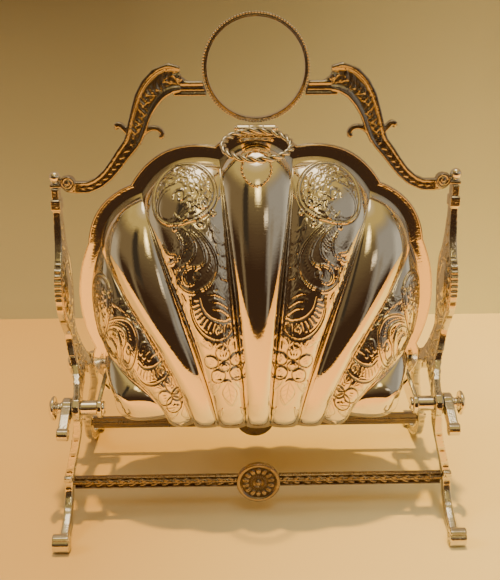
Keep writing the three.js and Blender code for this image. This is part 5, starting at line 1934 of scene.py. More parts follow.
@dataclass
class SideFrames:
    """The two cast side frames: crossing legs that end in scroll feet."""

    pivot: tuple = (32.0, 74.7)
    boss_radius: float = 8.6
    leg_width: float = 8.0
    foot_eye: tuple = (72.4, 5.15)
    foot_radius: float = 5.1
    foot_length: float = 10.0
    foot_at: float = 118.5
    curl_eye: tuple = (30.0, 41.0)
    palmette_at: float = 92.5
    path: tuple = (
        (32.0, 74.7), (33.7, 60.0), (35.4, 43.2), (37.6, 25.5), (40.8, 16.6), (49.7, 8.7), (62.5, 3.7),
        (73.2, 2.1),
    )
    widths: tuple = (1.5, 1.1, 0.92, 0.95, 0.9, 0.82, 0.66, 0.52)

    def build(self) -> None:
        """Builds and carves both frames."""
        stations = zip(self.path, self.widths)
        self.course = Course([(*place, width * self.leg_width / 2) for place, width in stations])
        for side in Side:
            feet = tuple(self.foot(side, half) for half in Half)
            node = f"{side.label}_side_frame"
            casting = Casting(f"{node}_cast", (node,), 0.52, 3, feet, self.rolled)
            casting.build(self.carve, "stand", CAST, Slot.CAST)

    def foot(self, side: Side, half: Half) -> Sheet:
        """Makes the roll of a scroll foot, which stands on the table.

        Args:
            side: which frame.
            half: its front or its rear foot.

        Returns:
            The mesh.
        """
        reach, radius = self.foot_length / 2, self.foot_radius
        flank = [(0, -reach), (radius - 0.5, -reach), (radius, 0.5 - reach)]
        profile = [*flank, *((out, -along) for out, along in flank[::-1])]
        centre = (side.sign * self.foot_at, -half.turn * self.foot_eye[0], self.foot_eye[1])
        return turned(profile, 40, "x", centre)

    def rolled(self, places: np.ndarray) -> np.ndarray:
        """Draws the tips of the legs back to the rolls of the feet.

        Args:
            places: the skin's places.

        Returns:
            The new places.
        """
        apart = np.stack([np.abs(places[:, 1]) - self.foot_eye[0], places[:, 2] - self.foot_eye[1]], axis=1)
        out = lengths(apart)
        beyond = (apart[:, 0] > -1.5) & (out > self.foot_radius) & (places[:, 2] < 2 * self.foot_eye[1])
        share = np.where(beyond, self.foot_radius / np.maximum(out, 1e-6), 1.0)
        flat = self.foot_eye + apart * share[:, None]
        return np.stack([places[:, 0], np.sign(places[:, 1]) * flat[:, 0], flat[:, 1]], axis=1)

    def carve(self, places: np.ndarray, facing: np.ndarray) -> tuple[np.ndarray, np.ndarray]:
        """Carves a frame: rims and leaves down the legs, rings on the bosses, a palmette over the arch.

        Args:
            places: the skin's places.
            facing: its directions.

        Returns:
            Heights, and dirt and painted shade in the hollows.
        """
        flat = np.stack([np.abs(places[:, 1]), places[:, 2]], axis=1)
        way, across = self.course.locate(flat)
        size = np.abs(across)
        upper = eased((52 - way) / 10)
        leg = 0.35 * crest(size - 0.82, 0.16) - 0.55 * eased((0.62 - size) / 0.2)
        leaves = leafage(way, np.clip(across / 0.6, -1, 1), 5.2, 0.8) * (size < 0.6)
        leg = leg + (0.3 + 0.4 * upper) * leaves
        on_leg = eased((1.25 - size) / 0.25) * (flat[:, 1] < 68)
        apart = flat - np.array(self.pivot)
        out = lengths(apart)
        boss = 0.45 * crest(out - 7.2, 0.7) - 0.4 * crest(out - 5.6, 0.6)
        crown = flat - np.array([0, self.palmette_at])
        reach = lengths(crown)
        angle = np.arctan2(crown[:, 1], crown[:, 0])
        petals = (0.5 + 0.5 * np.cos(angle * 11)) * eased((9.5 - reach) / 2) * eased((reach - 2) / 2)
        plate = 0.7 * petals + 0.5 * crest(reach, 1.6) - 0.3 * eased((10.5 - reach) / 2)
        fan = 0.28 * np.cos(flat[:, 0] * 1.4) * eased((flat[:, 0] - 11) / 3) * eased((25 - flat[:, 0]) / 4)
        height = np.where(flat[:, 1] > 66, plate + fan * eased((flat[:, 1] - 80) / 4), leg * on_leg)
        height = np.where(out < self.boss_radius + 0.5, boss, height)
        for eye, radius, hand in ((self.foot_eye, self.foot_radius, -1), (self.curl_eye, 2.6, 1)):
            near = flat - np.array(eye)
            inside = lengths(near) < radius + 0.4
            height = np.where(inside, spiral(near, radius, 1.9, hand), height)
        height = height * faced(facing[:, 0])
        edge = eased((0.4 - np.abs(facing[:, 0])) / 0.2) * (flat[:, 1] > 10) * (flat[:, 1] < 62)
        height = height - 0.28 * edge * crest((flat[:, 1] - 30) % 10.5 - 5, 0.9)
        # Sunk relief is darkened: dirt and painted shade.
        return height, np.clip(-height / 0.6, 0, 1) * 0.8


@dataclass
class Standards:
    """The two cast posts above the frames, with a boss in a leafy cartouche, and their finials."""

    foot: float = 100.3
    top: float = 205.0
    half_width: float = 19.0
    shares: tuple = (
        (0, 0.63), (0.06, 0.5), (0.13, 0.46), (0.21, 0.68), (0.3, 0.93), (0.41, 1),
        (0.52, 0.9), (0.6, 0.58), (0.69, 0.37), (0.79, 0.26), (0.88, 0.22), (1, 0.22),
    )
    boss_at: float = 143.0
    post_at: float = 119.2
    finial_radius: float = 3.4

    def build(self) -> None:
        """Builds and carves both posts and turns their finials."""
        for side in Side:
            casting = Casting(f"{side.label}_standard_cast", (f"{side.label}_standard",), 0.45, 3)
            casting.build(self.carve, "stand", CAST, Slot.CAST)
            self.finial(side)

    def carve(self, places: np.ndarray, facing: np.ndarray) -> tuple[np.ndarray, np.ndarray]:
        """Carves a post: an oval boss with rays of leaf, rims, and a notched edge.

        Args:
            places: the skin's places.
            facing: its directions.

        Returns:
            Heights, and dirt and painted shade in the hollows.
        """
        flat = places[:, 1:3]
        tall = self.top - self.foot
        half = self.half_width * np.interp((flat[:, 1] - self.foot) / tall, *np.array(self.shares).T)
        across = flat[:, 0] / half
        size = np.abs(across)
        apart = (flat - np.array([0, self.boss_at])) / np.array([7.5, 11.0])
        out = lengths(apart)
        angle = np.arctan2(apart[:, 1], apart[:, 0])
        boss = np.sqrt(np.clip(1 - (out / 0.9) ** 2, 0, 1)) + 0.5 * crest(out - 1.12, 0.1)
        rays = 0.7 * (0.5 + 0.5 * np.cos(angle * 16)) * eased((out - 1.25) / 0.2) * eased((2.1 - out) / 0.5)
        on_cartouche = eased((2.2 - out) / 0.3)
        stem = leafage(flat[:, 1], np.clip(across / 0.7, -1, 1), 6.4, 0.7)
        shaft = 0.35 * crest(size - 0.84, 0.14) - 0.5 * eased((0.66 - size) / 0.16)
        shaft = shaft + 0.6 * stem * (size < 0.7)
        plain = flat[:, 1] > self.top - 22
        shaft = np.where(plain, 0.3 * crest(size - 0.7, 0.2) - 0.25 * crest(size, 0.3), shaft)
        height = on_cartouche * (boss + rays - 0.35 * (out > 1.2)) + (1 - on_cartouche) * shaft
        height = height * faced(facing[:, 0])
        edge = eased((np.abs(facing[:, 1]) - 0.35) / 0.3)
        z = flat[:, 1]
        teeth = 0.5 + 0.5 * np.cos(2 * np.pi * (z - 150) / 3.1)
        teeth = teeth * eased((z - 138) / 2) * eased((163 - z) / 2)
        teeth = np.maximum(teeth, np.maximum(crest(z - 135, 1.3), crest(z - 124, 1.2)))
        height = height - 0.62 * teeth * edge
        # Sunk relief is darkened: dirt and painted shade.
        return height, np.clip(-height / 0.6, 0, 1) * 0.8

    def finial(self, side: Side) -> None:
        """Turns the ball finial that pins the handle to a post.

        Args:
            side: which post.
        """
        seat, radius = self.top + 2.6, self.finial_radius
        centre = seat + 1.0 + radius * 0.8
        low = self.top - 8.7
        profile = [(0, low), (0.9, low), (0.9, seat), (2.5, seat), (2.5, seat + 0.55), (2.1, seat + 1.0)]
        for angle in np.radians(np.linspace(-48, 78, 14)):
            profile.append((radius * math.cos(angle), centre + radius * math.sin(angle)))
        sheet = turned([*profile, (0, centre + radius)], 40, "z", (side.sign * self.post_at, 0, 0))
        piece = mesh_piece(f"{side.label}_finial_ball", sheet, (FITTING,), 45)
        settle(piece, "stand", Slot.POLISHED, f"{side.label}_finial")


@dataclass
class Stretchers:
    """The two bars between the side frames, with a chain of husks and a rosette at the middle."""

    reach: float = 37.6
    height: float = 25.5
    half_depth: float = 4.0
    half_thickness: float = 1.3
    relief: float = 0.6
    border: float = 0.8
    tenon: float = 2.0
    rosette_radius: float = 13.8
    rosette_thickness: float = 4.0
    rosette_section: tuple = (
        (0, 3.6), (0.08, 3.4), (0.14, 2.6), (0.18, 1.6), (0.24, 2.2), (0.28, 2.2), (0.33, 1.6), (0.38, 1.5),
        (0.76, 1.5), (0.8, 1.9), (0.84, 2.6), (0.92, 2.8), (0.97, 2.6), (1, 1.7),
    )
    petals: int = 14
    husk_pitch: float = 6.9
    husk_count: int = 14
    husk_parts: tuple = (
        ((1.8, 0, 0), (2.1, 1.2, 1.25), 0.0), ((-0.3, 0, 1.5), (2.7, 1.2, 1.15), 0.36),
        ((-0.3, 0, -1.5), (2.7, 1.2, 1.15), -0.36), ((-1.9, 0, 0), (1.6, 1.0, 1.0), 0.0),
    )

    def build(self) -> None:
        """Builds both stretchers with their husks and rosettes."""
        for half in Half:
            self.bar(half)
            self.chain(half)
            self.rosette(half)

    def placed(self, sheet: Sheet, half: Half) -> Sheet:
        """Moves a shape drawn about the front bar's middle to its own bar."""
        middle = (0, -self.reach, self.height)
        return sheet.placed(lambda points: (points + middle) * (half.turn, half.turn, 1))

    def bar(self, half: Half) -> None:
        """Makes a bar with rounded borders and its end tenons.

        Args:
            half: the front or the rear bar.
        """
        box_low, box_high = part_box(f"{half.label}_stretcher")
        end = (box_high.x - box_low.x) / 2 / MM
        shoulder = end - 4.0
        face, deep, border = -self.half_thickness, self.half_depth, self.border
        below = [
            (self.half_thickness, -deep + 0.3), (self.half_thickness - 0.3, -deep), (face - 0.35, -deep),
            (face - self.relief, -deep + 0.35), (face - self.relief, -deep + border - 0.25),
            (face, -deep + border + 0.1),
        ]
        outline = [*below, *((y, -z) for y, z in below[::-1])]
        count = len(outline)
        points = [(x, y, z) for x in (-shoulder, shoulder) for y, z in outline]
        sides = [(k, (k + 1) % count, count + (k + 1) % count, count + k) for k in range(count)]
        ends = np.array([list(range(count)), list(range(2 * count - 1, count - 1, -1))])
        # The sunk face between the borders is darkened: dirt and painted shade in the recess.
        soil = np.array([float(y == face) for _ in range(2) for y, _ in outline])
        body = Sheet(np.array(points, float), [np.array(sides), ends], soil).outward()
        pin = turned([(0, -end), (self.tenon, -end), (self.tenon, end), (0, end)], 24, "x", (0, 0, 0))
        sheet = self.placed(merged([body, pin]), half)
        piece = mesh_piece(f"{half.label}_stretcher_bar", sheet, (DULLED_AND_SHADED,), 30)
        settle(piece, "stand", Slot.CAST, f"{half.label}_stretcher")

    def husk(self, name: str, direction: int) -> bpy.types.Object:
        """Makes one bell-flower husk: a bud between two curling leaves.

        Args:
            name: its name.
            direction: 1 where it points right, -1 where it points left.

        Returns:
            The object that the chain is copied from.
        """
        parts = []
        for middle, size, lean in self.husk_parts:
            bead = ball((0, 0, 0), 1.0, 10)
            turn = np.array(Euler((0, -lean, 0)).to_matrix())
            place = (bead.points * size) @ turn.T + middle
            bead.points = place * (direction, 1, 1)
            parts.append(bead.outward())
        return mesh_piece(name, merged(parts), (DULLED_AND_SHADED,), 60)

    def chain(self, half: Half) -> None:
        """Lays the husks along a bar, pointing away from its rosette.

        Args:
            half: the front or the rear bar.
        """
        first = self.rosette_radius + 3.4
        last = first + self.husk_pitch * (self.husk_count - 1)
        for direction, word in ((1, "right"), (-1, "left")):
            husk = self.husk(f"{half.label}_{word}_husk", direction)
            ends = sorted((direction * first, direction * last))
            y = -self.reach - self.half_thickness + 0.1
            line = np.array([(ends[0], y, self.height), (ends[1], y, self.height)])
            path = PathTools.path_object(f"{half.label}_{word}_husk_path", [line], False)
            values = {"Husk": husk, "Count": self.husk_count, "Finish": DULLED_AND_SHADED.material()}
            mesh = PathTools.applied(path, PathTools.husks(), values)
            bpy.data.objects.remove(husk)
            mesh.transform(Matrix.Diagonal((half.turn, half.turn, 1, 1)))
            end = "right" if direction == half.turn else "left"
            piece = shown_piece(f"{half.label}_stretcher_husks_{end}", mesh, (DULLED_AND_SHADED,), 60)
            settle(piece, "stand", Slot.CAST)

    def rosette(self, half: Half) -> None:
        """Makes the round rosette with a plain rim, a ring of petals and a button.

        Args:
            half: the front or the rear bar.
        """
        radius, thick = self.rosette_radius, self.rosette_thickness
        out = np.concatenate([np.linspace(0.4, 12.4, 66), np.linspace(12.5, radius, 9)])
        steps = 168
        angle = 2 * math.pi * np.arange(steps) / steps
        base = np.interp(out / radius, *np.array(self.rosette_section).T)
        turn = (angle[:, None] * self.petals / (2 * math.pi) + 0.5) % 1 - 0.5
        aside = turn * 2 * math.pi * out[None, :] / self.petals
        petal = np.sqrt(np.clip(1 - ((out - 8.2)[None, :] / 2.3) ** 2 - (aside / 1.75) ** 2, 0, 1))
        bud = (0.5 + 0.5 * np.cos(24 * angle))[:, None] * crest(out - 4.6, 0.55)[None, :]
        deep = base[None, :] + 1.15 * petal - 0.3 * petal * crest(aside, 0.3) + 0.5 * bud
        floor = ((out > 3.2) & (out < 10.9))[None, :]
        # The sunk floor between the petals and the buds is darkened: dirt and painted shade.
        soil = 0.8 * np.clip((1 - 1.6 * petal - bud) * floor, 0, 1)
        x, z = np.sin(angle)[:, None] * out[None, :], np.cos(angle)[:, None] * out[None, :]
        back = -self.half_thickness - self.relief - 0.3
        grid = np.stack([x, back - np.clip(deep, 0, thick), z], axis=2).reshape(-1, 3)
        rows = len(out)
        rim = np.stack([np.sin(angle) * radius, np.full(steps, back), np.cos(angle) * radius], axis=1)
        points = np.vstack([grid, rim, [(0, back - 3.75, 0)], [(0, back, 0)]])
        k = np.arange(steps)
        n = (k + 1) % steps
        corners = (k * rows, n * rows, n * rows + 1, k * rows + 1)
        quads = [np.stack([corner + j for corner in corners], axis=1) for j in range(rows - 1)]
        first_rim = steps * rows
        last = rows - 1
        quads.append(np.stack([k * rows + last, n * rows + last, first_rim + n, first_rim + k], axis=1))
        front = np.stack([k * rows, n * rows, np.full(steps, first_rim + steps)], axis=1)[:, ::-1]
        rear = np.stack([first_rim + k, first_rim + n, np.full(steps, first_rim + steps + 1)], axis=1)
        soils_and_shades = np.concatenate([soil.ravel(), np.zeros(steps + 2)])
        sheet = Sheet(points, [np.vstack(quads), front, rear], soils_and_shades).outward()
        piece = mesh_piece(f"{half.label}_rosette_cast", self.placed(sheet, half), (DULLED_AND_SHADED,), 50)
        settle(piece, "stand", Slot.CAST, f"{half.label}_rosette")


@dataclass
class Pivots:
    """The four pivot stacks: pin, spacer tube, scroll arm, waisted collar and mushroom nut."""

    reach: float = 32.0
    height: float = 74.7
    arm_reach: float = 20.5
    arm_drop: float = 6.8
    arm_width: float = 9.0
    eye_radius: float = 6.4
    tip_radius: float = 3.8
    arm_path: tuple = ((0, 0, 1), (0.3, 0.1, 0.9), (0.65, 0.5, 0.75), (1, 1, 0.7))
    pin: tuple = (
        (0, 93.6), (2.6, 93.6), (3.6, 93.9), (4.0, 94.5), (4.0, 95.1), (2.4, 95.1), (2.4, 125.9), (0, 125.9),
    )
    tube: tuple = (
        (2.7, 98.4), (4.3, 98.4), (4.65, 98.75), (4.65, 107.95), (4.3, 108.3), (2.7, 108.3), (2.7, 98.4),
    )
    waist: tuple = (
        (2.7, 119.3), (3.9, 119.3), (4.2, 119.6), (4.2, 120.1), (3.9, 120.5), (3.25, 120.9), (3.1, 121.6),
        (3.3, 122.3), (3.6, 122.7), (2.7, 122.7), (2.7, 119.3),
    )
    nut: tuple = (
        (0, 126.2), (2.7, 126.2), (2.7, 123.0), (3.7, 123.0), (3.9, 123.5), (4.4, 123.9), (6.4, 124.0),
        (7.2, 124.25), (7.5, 124.8), (7.45, 125.4), (7.1, 125.95), (6.75, 126.1), (6.3, 126.15), (5.8, 126.6),
        (4.6, 127.45), (3.0, 127.95), (1.4, 128.15), (0, 128.2),
    )

    def build(self) -> None:
        """Builds all four stacks."""
        self.course = Course(
            [(r * self.arm_reach, -d * self.arm_drop, w * self.arm_width / 2) for r, d, w in self.arm_path]
        )
        for half in Half:
            for side in Side:
                self.stack(half, side)

    def stack(self, half: Half, side: Side) -> None:
        """Builds one stack.

        Args:
            half: the front or the rear pivot.
            side: its end of the stand.
        """
        stem = f"{half.label}_{side.label}"
        centre = (0, -half.turn * self.reach, self.height)
        for node, word, profile in (
            ("pivot_pin", "pin", self.pin), ("spacer_tube", "spacer", self.tube),
            ("collar", "collar", self.waist), ("knob", "nut", self.nut),
        ):
            name = f"{stem}_{node}"
            sheet = turned([(radius, x * side.sign) for radius, x in profile], 48, "x", centre)
            piece = mesh_piece(f"{stem}_{word}_turned", sheet, (FITTING,), 35)
            settle(piece, home_of(name), Slot.FITTINGS, name)
        node = f"{stem}_scroll_arm"
        arm = Casting(f"{node}_cast", (node,), 0.36, 2)
        arm.build(lambda places, facing: self.carve(places, facing, half), home_of(node), CAST, Slot.CAST)

    def carve(self, places: np.ndarray, facing: np.ndarray, half: Half) -> tuple[np.ndarray, np.ndarray]:
        """Carves a scroll arm: rims along it, a ring round its eye, a spiral at its tip.

        Args:
            places: the skin's places.
            facing: its directions.
            half: the front or the rear pivot.

        Returns:
            Heights, and dirt and painted shade in the hollows.
        """
        flat = np.stack([-half.turn * places[:, 1] - self.reach, places[:, 2] - self.height], axis=1)
        way, across = self.course.locate(flat)
        size = np.abs(across)
        rims = 0.3 * crest(size - 0.8, 0.18) - 0.35 * eased((0.55 - size) / 0.2)
        out = lengths(flat)
        ring = 0.35 * crest(out - 5.4, 0.5) - 0.25 * crest(out - 4.4, 0.4)
        height = np.where(out < self.eye_radius + 0.3, ring, rims * (way > 0))
        tip = flat - np.array([self.arm_reach, -self.arm_drop])
        on_tip = lengths(tip) < self.tip_radius + 0.3
        height = np.where(on_tip, spiral(tip, self.tip_radius, 1.8, 1), height) * faced(facing[:, 0])
        # Sunk relief is darkened: dirt and painted shade.
        return height, np.clip(-height / 0.5, 0, 1) * 0.7


class Ears:
    """The flat ears that carry the halves on their pins, and the lugs of the grilles' pins."""

    @staticmethod
    def build() -> None:
        """Rounds every ear and lug off."""
        for half in Half:
            for side in Side:
                stem = f"{half.label}_{side.label}"
                ear = Casting(f"{stem}_ear_rounded", (f"{stem}_ear",), 0.42, 2)
                ear.build(None, half.body, POLISHED, Slot.POLISHED)
                lug = Casting(f"{stem}_grille_lug_rounded", (f"{stem}_grille_lug",), 0.25, 2)
                lug.build(None, half.body, FITTING, Slot.FITTINGS)


@dataclass
class LiftingRing:
    """The rope-twist ring at the top of the front half, with its hinge."""

    hinge: tuple = (0.0, -4.8, 240.2)
    radius: float = 19.0
    neck: float = 4.0
    tilt: float = 14.0
    strands: int = 2
    twists: int = 10
    orbit: float = 0.95
    strand: float = 1.08
    steps: int = 400
    sides: int = 10

    def build(self) -> None:
        """Lays the strands, and builds the hinge's sleeve, bracket and pin."""
        steps, sides = self.steps, self.sides
        turn = 2 * math.pi * np.arange(steps) / steps
        centre = np.stack([np.sin(turn), np.cos(turn), np.zeros(steps)], axis=1)
        parts = []
        for k in range(self.strands):
            phase = self.twists * turn + 2 * math.pi * k / self.strands
            line = centre * (self.radius + self.orbit * np.cos(phase))[:, None]
            line[:, 2] = self.orbit * np.sin(phase)
            along = unit(np.roll(line, -1, axis=0) - np.roll(line, 1, axis=0))
            first = unit(np.cross(along, (0, 0, 1.0)))
            second = np.cross(along, first)
            angle = 2 * math.pi * np.arange(sides) / sides
            cosine, sine = (wave(angle)[None, :, None] for wave in (np.cos, np.sin))
            circle = first[:, None, :] * cosine + second[:, None, :] * sine
            points = (line[:, None, :] + self.strand * circle).reshape(-1, 3)
            i, j = np.meshgrid(np.arange(steps), np.arange(sides), indexing="ij")
            a, b = i * sides + j, i * sides + (j + 1) % sides
            c, d = ((i + 1) % steps) * sides + (j + 1) % sides, ((i + 1) % steps) * sides + j
            out = points - np.repeat(centre * self.radius, sides, axis=0)
            # The strands' inner sides, in the grooves between them, are darkened: dirt and painted shade.
            soil = np.clip((1.45 - np.linalg.norm(out, axis=1)) / 0.5, 0, 1)
            parts.append(Sheet(points, [np.stack([a, b, c, d], axis=2).reshape(-1, 4)], soil).outward())
        rope = merged(parts).placed(self.hung)
        settle(mesh_piece("lift_ring_rope", rope, (CAST,), 60), "rope_ring", Slot.POLISHED, "lift_ring")
        self.sleeve()
        bracket = Casting("lift_ring_bracket_rounded", ("lift_ring_bracket",), 0.28, 2)
        bracket.build(None, "front_shell_half", POLISHED, Slot.POLISHED)
        head = [(0, -12.9), (0.8, -12.8), (1.4, -12.3), (1.5, -11.7), (0.9, -11.5)]
        pin = [*head, *((radius, -along) for radius, along in head[::-1])]
        piece = mesh_piece("lift_ring_pin_turned", turned(pin, 24, "x", self.hinge), (FITTING,), 35)
        settle(piece, home_of("lift_ring_pin"), Slot.FITTINGS, "lift_ring_pin")

    def hung(self, points: np.ndarray) -> np.ndarray:
        """Moves the ring from its own drawing to its hinge.

        Args:
            points: places in the drawing.

        Returns:
            The places at the hinge.
        """
        tilt = math.radians(self.tilt)
        y, z = points[:, 1] - self.radius - self.neck, points[:, 2]
        turned_y = y * math.cos(tilt) - z * math.sin(tilt)
        turned_z = y * math.sin(tilt) + z * math.cos(tilt)
        return np.stack([points[:, 0], turned_y, turned_z], axis=1) + self.hinge

    def sleeve(self) -> None:
        """Builds the sleeve of the ring's hinge and the short neck to the rope."""
        flank = [(1.2, -3.8), (1.8, -3.8), (2.0, -3.6), (2.0, -0.3)]
        profile = [*flank, (1.8, 0), *((radius, -along) for radius, along in flank[::-1]), flank[0]]
        barrel = turned(profile, 32, "x", self.hinge)
        neck = ball((0, 0, 0), 1.0, 24)
        neck.points = neck.points * (2.1, 2.6, 1.05) + (0, self.radius + 2.2, 0)
        parts = merged([barrel, neck.placed(self.hung)])
        settle(mesh_piece("lift_ring_sleeve", parts, (FITTING,), 35), "rope_ring", Slot.POLISHED)


@dataclass
class Grilles:
    """The pierced inner plates that hold the contents of each half, with their hinge sleeves."""

    thickness: float = 1.0
    inset: float = 2.2
    front_face: float = -0.7
    pin_height: float = 81.0
    pin_reach: float = 4.0
    pin_half: float = 32.0
    knuckle_radius: float = 2.2
    knuckle_half: float = 28.7
    low_edge: float = 80.2
    notch_at: float = 30.0
    notch: tuple = (1.6, 4.8)
    web: tuple = (81.0, 83.2, -0.75, -2.35)
    slots: tuple = ((0.12, 0.34, 0.5), (0.4, 0.62, 0.5), (0.68, 0.9, 0.5))

    def build(self) -> None:
        """Builds both grilles."""
        self.shell = ShellHalves()
        for half in Half:
            self.plate(half)
            self.sleeve(half)

    def edge(self, station: np.ndarray) -> tuple[np.ndarray, np.ndarray]:
        """Finds the foot and top of the plate at stations across the shell.

        Args:
            station: the stations.

        Returns:
            The foot places and the top places.
        """
        foot, top, _, _ = self.shell.outline(station)
        return self.shell.within(foot, top, self.inset)

    def plate(self, half: Half) -> None:
        """Cuts a plate with a row of long piercings up each flute.

        Args:
            half: which half.
        """
        station = np.linspace(0.66, self.shell.flutes - 0.66, 130)
        _, top = self.edge(station)
        corner = float(self.edge(np.array([self.shell.flutes - 0.3]))[0][0, 0])
        low = [(corner, self.low_edge)]
        half_notch, deep = self.notch
        for middle in (self.notch_at, -self.notch_at):
            for across, up in ((half_notch, 0), (half_notch, deep), (-half_notch, deep), (-half_notch, 0)):
                low.append((middle + across, self.low_edge + up))
        low.append((-corner, self.low_edge))
        outline = np.vstack([top, low])[::-1]
        lines = [np.column_stack([outline, np.zeros(len(outline))])]
        angle = 2 * math.pi * np.arange(28) / 28
        for flute in range(1, self.shell.flutes - 1):
            for start, end, width in self.slots:
                reach = np.sign(np.cos(angle)) * np.abs(np.cos(angle)) ** 0.8
                along = (start + end) / 2 + reach * (end - start) / 2
                v = width * np.sign(np.sin(angle)) * np.abs(np.sin(angle)) ** 0.9
                low_place, high_place = self.edge(flute + np.arccos(-v) / math.pi)
                place = low_place * (1 - along[:, None]) + high_place * along[:, None]
                lines.append(np.column_stack([place, np.zeros(len(place))]))
        path = PathTools.path_object(f"{half.label}_grille_path", lines, True)
        values = {"Thickness": self.thickness * MM, "Finish": GRILLE.material()}
        mesh = PathTools.applied(path, PathTools.pierced(), values)
        flat = read_all(mesh.vertices, "co", np.float32, 3)
        moved = np.stack([flat[:, 0], self.front_face * MM - flat[:, 2], flat[:, 1]], axis=1)
        mesh.vertices.foreach_set("co", (moved * (half.turn, half.turn, 1)).astype(np.float32).ravel())
        mesh.update()
        piece = shown_piece(f"{half.label}_grille_plate", mesh, (GRILLE,), 30)
        settle(piece, f"{half.label}_grille_leaf", Slot.GRILLE, f"{half.label}_grille")

    def sleeve(self, half: Half) -> None:
        """Builds the sleeve along the grille's foot, its web and its pin.

        Args:
            half: which half.
        """
        end, radius = self.knuckle_half, self.knuckle_radius
        profile = [(1.3, -end), (radius - 0.2, -end), (radius, -end + 0.2)]
        for k in range(-3, 4):
            middle = k * 8.0
            profile += [(radius, middle - 0.25), (radius - 0.25, middle), (radius, middle + 0.25)]
        profile += [(radius, end - 0.2), (radius - 0.2, end), (1.3, end), (1.3, -end)]
        centre = (0, -self.pin_reach, self.pin_height)
        barrel = turned(profile, 32, "x", centre)
        low, high, near, far = self.web
        corners = (near, low), (far, low), (far, high), (near, high)
        points = [(x, y, z) for x in (-end, end) for y, z in corners]
        faces = [(0, 1, 2, 3), (7, 6, 5, 4)] + [(k, (k + 1) % 4, 4 + (k + 1) % 4, 4 + k) for k in range(4)]
        web = Sheet(np.array(points, float), [np.array(faces)]).outward()
        sleeve = ShellHalves.turned_to(merged([barrel, web]), half)
        piece = mesh_piece(f"{half.label}_grille_sleeve", sleeve, (GRILLE,), 35)
        settle(piece, f"{half.label}_grille_leaf", Slot.GRILLE)
        reach = self.pin_half
        head = [(0, -reach), (0.7, -reach), (1.0, -reach + 0.3)]
        rod = [*head, *((out, -along) for out, along in head[::-1])]
        node = f"{half.label}_grille_pin"
        pin = ShellHalves.turned_to(turned(rod, 20, "x", centre), half)
        settle(mesh_piece(f"{node}_turned", pin, (FITTING,), 35), home_of(node), Slot.FITTINGS, node)


# Stage, lights and camera


@dataclass(frozen=True)
class Glow:
    """A soft patch of the room that shows in the silver: its bearing, its rise, its size and its colour."""

    bearing: float
    rise: float
    half_width: float
    half_height: float
    soft: float
    colour: Colour


